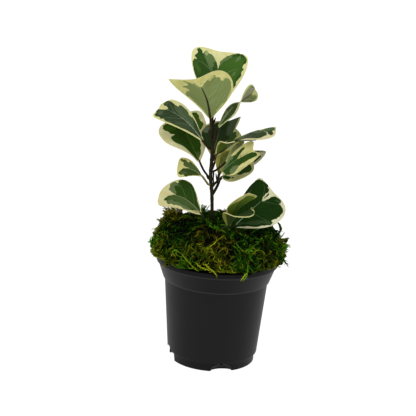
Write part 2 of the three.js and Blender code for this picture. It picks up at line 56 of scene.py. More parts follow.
def setInputs(tree, node, links=None, values=None):
    for socket, value in (values or {}).items():
        node.inputs[socket].default_value = value
    for socket, output in (links or {}).items():
        tree.links.new(output, node.inputs[socket])


def addNode(tree, kind, links=None, values=None, **settings):
    node = tree.nodes.new("ShaderNode" + kind)
    for key, value in settings.items():
        setattr(node, key, value)
    setInputs(tree, node, links, values)
    return node


def newMaterial(name, values):
    # a material with a lone Principled shader, which holds the plain values
    material = bpy.data.materials.new(name)
    material.use_nodes = True
    tree = material.node_tree
    shader = next(n for n in tree.nodes if n.type == "BSDF_PRINCIPLED")
    setInputs(tree, shader, values=values)
    return material, tree, shader


def deselectAll():
    if bpy.context.object and bpy.context.object.mode != "OBJECT":
        bpy.ops.object.mode_set(mode="OBJECT")
    bpy.ops.object.select_all(action="DESELECT")


def selectOnly(*objects):
    deselectAll()
    for item in objects:
        item.select_set(True)
    bpy.context.view_layer.objects.active = objects[0]


def editAll():
    bpy.ops.object.mode_set(mode="EDIT")
    bpy.ops.mesh.select_all(action="SELECT")


def mergeAndFaceOut():
    # closes the seams of the mesh being edited and turns its faces outward
    bpy.ops.mesh.select_all(action="SELECT")
    bpy.ops.mesh.remove_doubles(threshold=mergeWithin)
    bpy.ops.mesh.normals_make_consistent(inside=False)
    bpy.ops.object.mode_set(mode="OBJECT")


def applyAll(piece):
    # applies every modifier from the top down
    selectOnly(piece)
    for modifier in list(piece.modifiers):
        bpy.ops.object.modifier_apply(modifier=modifier.name)


def joinInto(first, others, name):
    selectOnly(first, *others)
    bpy.ops.object.join()
    first.name = name
    first.data.name = name
    return first


def readPoints(piece):
    co = np.empty(len(piece.data.vertices) * 3)
    piece.data.vertices.foreach_get("co", co)
    return co.reshape(-1, 3)


def writePoints(piece, points):
    piece.data.vertices.foreach_set("co", np.asarray(points, float).ravel())
    piece.data.update()


def smoothPath(route, steps):
    # a smooth curve through the route's points, which may carry a radius as fourth value
    p = np.array(route, float)
    p = np.vstack([2 * p[0] - p[1], p, 2 * p[-1] - p[-2]])
    out = []
    for i in range(1, len(p) - 2):
        a, b, c, d = p[i - 1], p[i], p[i + 1], p[i + 2]
        for k in range(steps):
            u = k / steps
            out.append(0.5 * (2 * b + (c - a) * u + (2 * a - 5 * b + 4 * c - d) * u ** 2
                              + (3 * b - a - 3 * c + d) * u ** 3))
    out.append(p[-2])
    return np.array(out)


def rodAlong(route, steps, sides):
    # a round rod along [x, y, z, radius] points in millimetres, closed at both ends
    path = smoothPath(route, steps)
    deselectAll()
    bpy.ops.curve.primitive_bezier_curve_add()
    rod = bpy.context.object
    curve = rod.data
    curve.splines.clear()
    spline = curve.splines.new("POLY")
    spline.points.add(len(path) - 1)
    for point, (x, y, z, radius) in zip(spline.points, path):
        point.co = (x * mm, y * mm, z * mm, 1)
        point.radius = radius
    curve.dimensions = "3D"
    curve.bevel_depth = mm
    # a full bevel has four sides more than twice its resolution
    curve.bevel_resolution = sides // 2 - 2
    curve.use_fill_caps = True
    bpy.ops.object.convert(target="MESH")
    return bpy.context.object


# Materials. Noise scales are per metre, so 500 is a grain of about two millimetres.

def leafMaterial(name, look):
    # Living leaf with a waxy skin: a cuticle that shines softly, pigment in patches that stop
    # at the veins with a ragged edge, and cream tissue without pigment between and outside them.
    # the greyer patches are partly the leaf's own grey-green and partly a painted sheen
    material, tree, shader = newMaterial(name, {"Specular IOR Level": look["gloss"]})
    uv = addNode(tree, "UVMap", uv_map="leafMap")
    where = addNode(tree, "SeparateXYZ", {0: uv.outputs["UV"]})
    place = addNode(tree, "TexCoord")
    away = addNode(tree, "Math", {0: where.outputs["X"]}, operation="ABSOLUTE")

    # side veins climb outward from the midrib, and the flesh is streaked along them, each
    # streak about three times as long as it is wide
    level = addNode(tree, "Math", {0: away.outputs[0], 2: where.outputs["Y"]},
                    {1: -look["veinClimb"]}, operation="MULTIPLY_ADD")
    across = addNode(tree, "Math", {0: where.outputs["X"]}, {1: 0.3}, operation="MULTIPLY")
    grained = addNode(tree, "CombineXYZ", {0: across.outputs[0], 1: level.outputs[0]})
    streak = addNode(tree, "TexNoise", {"Vector": grained.outputs[0]},
                     {"Scale": 520.0, "Detail": 3.0, "Roughness": 0.6})
    # the midrib tapers from the base towards the tip
    ribWidth = addNode(tree, "MapRange", {"Value": where.outputs["Y"]},
                       {"From Min": 0.0, "From Max": look["ribLength"] * mm,
                        "To Min": look["ribWidth"] * mm, "To Max": 0.02 * mm})
    ribShare = addNode(tree, "Math", {0: away.outputs[0], 1: ribWidth.outputs[0]},
                       operation="DIVIDE")
    rib = addNode(tree, "MapRange", {"Value": ribShare.outputs[0]},
                  {"From Min": 0.5, "From Max": 1.1, "To Min": look["ribShow"], "To Max": 0.0},
                  interpolation_type="SMOOTHSTEP")

    # ragged edges: a fine and a slow noise push the edge of each patch to and fro; depth and
    # soft are the reach of the fine one and the half width of the border, in millimetres
    slow = addNode(tree, "TexNoise", {"Vector": uv.outputs["UV"]},
                   {"Scale": 160.0, "Detail": 2.0})
    slowShare = 0.7
    masks = {}
    for zone, depth, soft in (("green", 1.5, 0.16), ("mid", 3.0, 1.5), ("grey", 2.6, 0.5),
                              ("pale", 1.8, 0.3)):
        field = addNode(tree, "Attribute", attribute_name=zone)
        shove = addNode(tree, "Math", {0: streak.outputs["Fac"], 2: field.outputs["Fac"]},
                        {1: depth}, operation="MULTIPLY_ADD")
        edge = addNode(tree, "Math", {0: slow.outputs["Fac"], 2: shove.outputs[0]},
                       {1: depth * slowShare}, operation="MULTIPLY_ADD")
        # both noises lie round one half
        middle = (1 + slowShare) / 2 * depth
        masks[zone] = addNode(tree, "MapRange", {"Value": edge.outputs[0]},
                              {"From Min": middle - soft, "From Max": middle + soft},
                              interpolation_type="SMOOTHSTEP").outputs[0]

    # colour: cream tissue, then pigment with its lighter patches, its greyer patches (partly
    # painted sheen) and its palest patches
    mottle = addNode(tree, "TexNoise", {"Vector": place.outputs["Object"]},
                     {"Scale": 150.0, "Detail": 3.0})
    spread = {"From Min": 0.35, "From Max": 0.65}
    flesh = addNode(tree, "MapRange", {"Value": mottle.outputs["Fac"]}, spread)
    fibre = addNode(tree, "MapRange", {"Value": streak.outputs["Fac"]}, spread)
    cream = addNode(tree, "Mix", {0: flesh.outputs[0]},
                    {6: linear(look["creamDeep"]), 7: linear(look["cream"])}, data_type="RGBA")
    layer = addNode(tree, "Mix", {0: fibre.outputs[0]},
                    {6: linear(look["darkDeep"]), 7: linear(look["dark"])}, data_type="RGBA")
    # the grey patches are partly the leaf's own grey-green and partly painted sheen
    for zone in ("mid", "grey"):
        layer = addNode(tree, "Mix", {0: masks[zone], 6: layer.outputs[2]},
                        {7: linear(look[zone])}, data_type="RGBA")
    layer = addNode(tree, "Mix", {0: masks["green"], 6: cream.outputs[2], 7: layer.outputs[2]},
                    data_type="RGBA")
    for mask, colour in ((masks["pale"], "pale"), (rib.outputs[0], "rib")):
        layer = addNode(tree, "Mix", {0: mask, 6: layer.outputs[2]}, {7: linear(look[colour])},
                        data_type="RGBA")

    # relief: the skin is finely ribbed along the streaks
    bump = addNode(tree, "Bump", {"Height": streak.outputs["Fac"]},
                   {"Strength": look["streaks"], "Distance": 0.4 * mm})
    shine = addNode(tree, "MapRange", {"Value": mottle.outputs["Fac"]},
                    {"To Min": look["rough"] - 0.06, "To Max": look["rough"] + 0.06})
    setInputs(tree, shader, {"Base Color": layer.outputs[2], "Roughness": shine.outputs[0],
                             "Normal": bump.outputs["Normal"]})
    return material


def veinMaterial(name, colour):
    # Leaf vein: firm pale tissue under the waxy skin, smooth and of one colour.
    return newMaterial(name, {"Base Color": linear(colour), "Roughness": 0.5,
                              "Specular IOR Level": 0.2})[0]


def barkMaterial(name, light, dark, scale):
    # Young bark and petiole skin: thin, matt, streaked along the shoot and dotted with lenticels.
    material, tree, shader = newMaterial(name, {"Roughness": 0.6, "Specular IOR Level": 0.1})
    place = addNode(tree, "TexCoord")
    stretch = addNode(tree, "Mapping", {"Vector": place.outputs["Object"]},
                      {"Scale": (1.0, 1.0, 0.3)})
    streak = addNode(tree, "TexNoise", {"Vector": stretch.outputs[0]},
                     {"Scale": scale, "Detail": 4.0, "Roughness": 0.65})
    dots = addNode(tree, "TexVoronoi", {"Vector": place.outputs["Object"]}, {"Scale": 650.0})
    dotMask = addNode(tree, "MapRange", {"Value": dots.outputs["Distance"]},
                      {"From Min": 0.1, "From Max": 0.25, "To Min": 0.5, "To Max": 0.0})
    spread = addNode(tree, "MapRange", {"Value": streak.outputs["Fac"]},
                     {"From Min": 0.35, "From Max": 0.65})
    base = addNode(tree, "Mix", {0: spread.outputs[0]}, {6: linear(dark), 7: linear(light)},
                   data_type="RGBA")
    spotted = addNode(tree, "Mix", {0: dotMask.outputs[0], 6: base.outputs[2]},
                      {7: linear(light)}, data_type="RGBA")
    bump = addNode(tree, "Bump", {"Height": streak.outputs["Fac"]},
                   {"Strength": 0.5, "Distance": 0.3 * mm})
    setInputs(tree, shader, {"Base Color": spotted.outputs[2], "Normal": bump.outputs["Normal"]})
    return material


def mossMaterial(name, light, mid, dark):
    # Dried sheet moss: matt fibres, each strand in its own shade, with painted shade towards its
    # root.
    material, tree, shader = newMaterial(name, {"Roughness": 0.9, "Specular IOR Level": 0.03})
    tone = addNode(tree, "Attribute", attribute_name="tone")
    place = addNode(tree, "TexCoord")
    noise = addNode(tree, "TexNoise", {"Vector": place.outputs["Object"]},
                    {"Scale": 200.0, "Detail": 3.0})
    mix = addNode(tree, "Math", {0: noise.outputs["Fac"], 2: tone.outputs["Fac"]}, {1: 0.4},
                  operation="MULTIPLY_ADD")
    ramp = addNode(tree, "ValToRGB", {"Fac": mix.outputs[0]})
    stops = ramp.color_ramp.elements
    stops[0].position = 0.15
    stops[0].color = linear(dark)
    stops[1].color = linear(light)
    stops.new(0.55).color = linear(mid)
    setInputs(tree, shader, {"Base Color": ramp.outputs["Color"]})
    return material


def plasticMaterial(name):
    # Injection moulded polypropylene, black: satin, with a fine moulding grain, its colour set by
    # height with painted shade and painted highlights.
    material, tree, shader = newMaterial(name, {"Specular IOR Level": 0.13})
    place = addNode(tree, "TexCoord")
    grain = addNode(tree, "TexNoise", {"Vector": place.outputs["Object"]},
                    {"Scale": 800.0, "Detail": 3.0})
    cloud = addNode(tree, "TexNoise", {"Vector": place.outputs["Object"]},
                    {"Scale": 45.0, "Detail": 3.0})
    # the wall is a dark grey and the foot is blacker; the collar is painted blacker as painted
    # shade against the light it catches, and its two narrow edges are painted pale as painted
    # highlights
    height = addNode(tree, "SeparateXYZ", {0: place.outputs["Object"]})
    share = addNode(tree, "Math", {0: height.outputs["Z"]}, {1: pot["shadesUpTo"] * mm},
                    operation="DIVIDE")
    ramp = addNode(tree, "ValToRGB", {"Fac": share.outputs[0]})
    stops = ramp.color_ramp.elements
    stops.remove(stops[1])
    stops[0].color = linear("#050505")
    for level, shade in pot["shades"]:
        stops.new(level / pot["shadesUpTo"]).color = linear(shade)
    rough = addNode(tree, "MapRange", {"Value": cloud.outputs["Fac"]},
                    {"To Min": 0.42, "To Max": 0.54})
    bump = addNode(tree, "Bump", {"Height": grain.outputs["Fac"]},
                   {"Strength": 0.2, "Distance": 0.15 * mm})
    setInputs(tree, shader, {"Base Color": ramp.outputs["Color"], "Roughness": rough.outputs[0],
                             "Normal": bump.outputs["Normal"]})
    return material


def soilMaterial(name):
    # Damp potting soil: dark crumbs of peat and bark a millimetre or two across.
    material, tree, shader = newMaterial(name, {"Roughness": 0.95})
    place = addNode(tree, "TexCoord")
    crumbs = addNode(tree, "TexVoronoi", {"Vector": place.outputs["Object"]}, {"Scale": 500.0})
    noise = addNode(tree, "TexNoise", {"Vector": place.outputs["Object"]},
                    {"Scale": 300.0, "Detail": 4.0})
    colour = addNode(tree, "Mix", {0: noise.outputs["Fac"]},
                     {6: linear("#120c08"), 7: linear("#3a2a1c")}, data_type="RGBA")
    bump = addNode(tree, "Bump", {"Height": crumbs.outputs["Distance"]},
                   {"Strength": 0.8, "Distance": 1.0 * mm})
    setInputs(tree, shader, {"Base Color": colour.outputs[2], "Normal": bump.outputs["Normal"]})
    return material


# Pot. Radius and height of the outer and inner profile, in mm, from the foot up and back down.
pot = {
    "sides": 128,
    "outside": [
        (34.8, 2.5), (36.2, 0.9), (36.6, 0.0), (37.6, 0.0), (37.9, 0.3), (37.9, 7.5),
        (38.1, 7.9), (39.9, 8.2), (40.1, 8.5), (45.8, 74.3), (46.1, 74.6), (47.2, 74.9),
        (47.4, 75.2), (52.5, 89.6), (52.7, 89.9), (53.6, 90.0), (53.95, 90.3), (54.0, 91.0),
        (54.0, 94.3), (53.8, 94.8), (53.3, 95.0),
    ],
    "inside": [
        (51.7, 95.0), (51.4, 94.8), (51.1, 90.0), (45.9, 75.4), (44.3, 74.0), (38.6, 9.1),
        (36.4, 7.6), (36.4, 4.0),
    ],
    # the room inside which a scoop's pocket may stand, within the walls and above the foot
    "room": [(36.9, 0.6), (37.4, 7.7), (39.0, 8.7), (40.6, 20.0)],
    # drainage scoops: the angle and the height of each, then what they share
    "scoops": ((15, 12.5), (105, 12.5), (195, 13.5), (285, 8.6)),
    "scoopCentre": (39.8, -1.2),
    "scoopSize": (7.4, 11.5),
    "wall": 1.5,
    # the small hole behind each scoop
    "holeRadius": 1.4,
    "holeHeight": 6.1,
    "holeInward": 6,
    "drillLength": 14,
    # colours by height, with painted shade on the collar and painted highlights on its two edges
    "shades": ((8.0, "#050505"), (8.6, "#0f0f10"), (74.1, "#0f0f10"), (74.6, "#30302f"),
               (75.2, "#30302f"), (75.7, "#030303"), (89.4, "#030303"), (89.8, "#282827"),
               (90.6, "#282827"), (91.2, "#060606")),
    "shadesUpTo": 100,
    "smoothBelow": 28,
}


def ringShell(name, profile, sides):
    # a circle extruded ring by ring along the profile, its two ends closed on the axis
    deselectAll()
    radius, height = profile[0]
    bpy.ops.mesh.primitive_circle_add(vertices=sides, radius=radius * mm,
                                      location=(0, 0, height * mm))
    piece = bpy.context.object
    piece.name = name
    bpy.ops.object.transform_apply(location=True, rotation=False, scale=False)
    editAll()
    bpy.ops.mesh.extrude_region()
    bpy.ops.mesh.merge(type="CENTER")
    bpy.ops.object.mode_set(mode="OBJECT")
    for v in piece.data.vertices:
        v.select = abs(v.co.xy.length - radius * mm) < mergeWithin
    bpy.ops.object.mode_set(mode="EDIT")
    bpy.ops.mesh.select_mode(type="VERT")
    for before, (nextRadius, nextHeight) in zip(profile, profile[1:]):
        bpy.ops.mesh.extrude_region_move(
            TRANSFORM_OT_translate={"value": (0, 0, (nextHeight - before[1]) * mm)})
        share = nextRadius / before[0]
        bpy.ops.transform.resize(value=(share, share, 1), center_override=(0, 0, 0))
    bpy.ops.mesh.extrude_region()
    bpy.ops.mesh.merge(type="CENTER")
    mergeAndFaceOut()
    return piece


def atAngle(angle, radius, height):
    # moves out to the radius and up to the height, then round the axis
    return (Matrix.Rotation(math.radians(angle), 4, "Z")
            @ Matrix.Translation((radius * mm, 0, height * mm)))


def scoopEgg(angle, tall, extra):
    # the egg-shaped form of one drainage scoop, larger all round by extra
    deselectAll()
    bpy.ops.mesh.primitive_uv_sphere_add(segments=36, ring_count=18, radius=mm)
    egg = bpy.context.object
    size = [value + extra for value in (*pot["scoopSize"], tall)]
    egg.data.transform(atAngle(angle, *pot["scoopCentre"]) @ Matrix.Diagonal((*size, 1)))
    return egg


def cutWith(piece, tool, operation):
    modifier = piece.modifiers.new("cut", "BOOLEAN")
    modifier.operation = operation
    modifier.object = tool
    modifier.solver = "EXACT"
    applyAll(piece)


def buildPot():
    body = ringShell("nurseryPot", pot["outside"] + pot["inside"], pot["sides"])
    room = ringShell("pocketRoom", pot["room"], pot["sides"])
    for angle, tall in pot["scoops"]:
        pocket = scoopEgg(angle, tall, pot["wall"])
        cutWith(pocket, room, "INTERSECT")
        cutWith(body, pocket, "UNION")
        bpy.data.objects.remove(pocket)
    for angle, tall in pot["scoops"]:
        egg = scoopEgg(angle, tall, 0)
        cutWith(body, egg, "DIFFERENCE")
        deselectAll()
        bpy.ops.mesh.primitive_cylinder_add(vertices=32, radius=pot["holeRadius"] * mm,
                                            depth=pot["drillLength"] * mm)
        drill = bpy.context.object
        away = pot["scoopCentre"][0] - pot["holeInward"]
        drill.data.transform(atAngle(angle, away, pot["holeHeight"])
                             @ Matrix.Rotation(math.pi / 2, 4, "Y"))
        cutWith(body, drill, "DIFFERENCE")
        for tool in (egg, drill):
            bpy.data.objects.remove(tool)
    bpy.data.objects.remove(room)
    selectOnly(body)
    bpy.ops.object.shade_smooth_by_angle(angle=math.radians(pot["smoothBelow"]))
    body.data.materials.append(plasticMaterial("black_polypropylene_moulded"))
    return body


nurseryPot = buildPot()
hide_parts("pot")
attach(nurseryPot, "root")
print("pot done")

soil = nodes["potting_soil"]
soil.data.materials.clear()
soil.data.materials.append(soilMaterial("potting_soil_damp_crumbs"))
print("soil done")


# Stem: [x, y, z, radius] in mm along the main shoot, which swells a little at its leaf nodes,
# and along its side shoots.
stem = {
    "main": [
        [-5.2, 0, 60, 1.8], [-5.8, 0, 86, 1.8], [-6.4, 0, 110, 1.55], [-7.1, 0, 131, 1.4],
        [-8, 0, 146, 1.4], [-9.1, 0, 156, 1.45], [-10.2, 0, 163, 1.45], [-10.5, 0, 171, 1.5],
        [-10.3, 0, 181, 1.45], [-10.4, 0, 190.5, 1.5], [-11.1, 0, 198.5, 1.5],
        [-11.5, 0, 206.5, 1.5], [-11.7, 0, 213.3, 1.25],
    ],
    "shoots": [
        [[-9.3, 0, 155.5, 1.2], [-6.4, -0.6, 160, 1.1], [-3.6, -0.8, 163, 1.1],
         [-1.6, -1, 165.4, 1]],
        [[-8.2, 0, 149, 1.3], [-5.2, 1.4, 155, 1.3], [-3.2, 1.2, 160, 1.2], [-2, 0, 164.6, 1]],
        [[-10.3, 0.3, 170.8, 0.9], [-8.1, 1.2, 169.4, 0.8], [-8, 1.4, 164.5, 0.7],
         [-7.3, 0.4, 158.8, 0.7]],
        [[-4.4, -0.4, 162.5, 0.8], [-5.3, -1.4, 166, 0.7], [-5.9, -2, 169.5, 0.4]],
        [[-11.7, 0, 211, 1.1], [-10.2, 0.4, 215, 0.9], [-8.9, 0.8, 218.3, 0.25]],
        [[-10.6, 0, 163, 0.8], [-13.2, -1, 165.6, 0.8], [-14.2, -1.6, 169.6, 0.3]],
    ],
    # the main shoot's radius is multiplied by stout
    "stout": 1.1,
    "nodesAt": [146, 155.5, 163.5, 171.5, 181, 190, 199, 206.5],
    "swelling": 0.22,
    "swellingReach": 1.1,
    "steps": 12,
    "smoothBelow": 50,
}


def buildStem():
    path = smoothPath(stem["main"], stem["steps"]) * [1, 1, 1, stem["stout"]]
    for point in path:
        for level in stem["nodesAt"]:
            gap = (point[2] - level) / stem["swellingReach"]
            point[3] += stem["swelling"] * math.exp(-gap ** 2)
    main = rodAlong(path, steps=1, sides=14)
    shoots = [rodAlong(route, steps=8, sides=12) for route in stem["shoots"]]
    whole = joinInto(main, shoots, "figStem")
    bpy.ops.object.shade_smooth_by_angle(angle=math.radians(stem["smoothBelow"]))
    whole.data.materials.append(barkMaterial("young_fig_bark", "#2c2b12", "#100f06", 260.0))
    return whole


def stemPlaceNear(place):
    # the nearest point on the middle of the stem and its side shoots
    paths = [smoothPath(route, stem["steps"]) for route in [stem["main"], *stem["shoots"]]]
    middles = np.vstack(paths)[:, :3]
    return middles[np.argmin(np.linalg.norm(middles - np.array(place, float), axis=1))]


figStem = buildStem()
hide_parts("stem")
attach(figStem, "root")
print("stem done")


# Leaves. base, tip and petiole are points in mm; upper is the way the upper side looks at the
# base. Where a value has two numbers the first is the left half's, seen on the upper side.
# wide is the half width, shoulder where along the leaf it is widest, straight how straight the
# side margins run, corner how square the far corners are, lift how far they reach past the tip.
# rollPower says how near the margin the roll begins.
# ribThick is the radius of the rib below at the base and at its end, and where it ends.
# green, mid, grey and pale are outlines of marks, and veins are lines, in points of the leaf:
# across in hundredths of the widest half width, minus to the left, and along in hundredths of
# the length. An outline that runs past 100 is cut off by the margin.
# the grey marks are partly the leaf's own grey-green and partly painted sheen
leafDefaults = {
    "shoulder": [0.76, 0.76], "straight": [3.6, 3.6], "corner": [2.4, 2.4], "lift": [0, 0],
    "fold": [12, 12], "foldAtTip": [7, 7], "rollAtTip": [0, 0],
    "arch": 0, "sweep": 0, "twist": 0, "twistFrom": 0, "twistTo": 1, "rollPower": 4,
    "green": [], "mid": [], "grey": [], "pale": [], "veins": [], "underVeins": [], "look": {},
    "ribThick": [0.75, 0.14, 0.9],
}
leafLook = {
    "cream": "#ddd8a2", "creamDeep": "#cec78a", "dark": "#2c4c12", "darkDeep": "#1f3a0a",
    "mid": "#3f5c1c", "grey": "#5a6f48", "pale": "#98a56a", "vein": "#71875a", "rib": "#93a274",
    "underCream": "#c8c582", "underCreamDeep": "#b9b46c", "underDark": "#788756",
    "underDarkDeep": "#6c7b48", "underMid": "#74804f", "underGrey": "#82835e",
    "underPale": "#a3a967", "underVein": "#8c9868", "underRib": "#4a2c12",
    "stalk": "#3c2f14", "stalkDeep": "#1c160a",
    "rough": 0.5, "gloss": 0.08, "ribWidth": 0.62, "ribShow": 0.8, "streaks": 0.12,
}
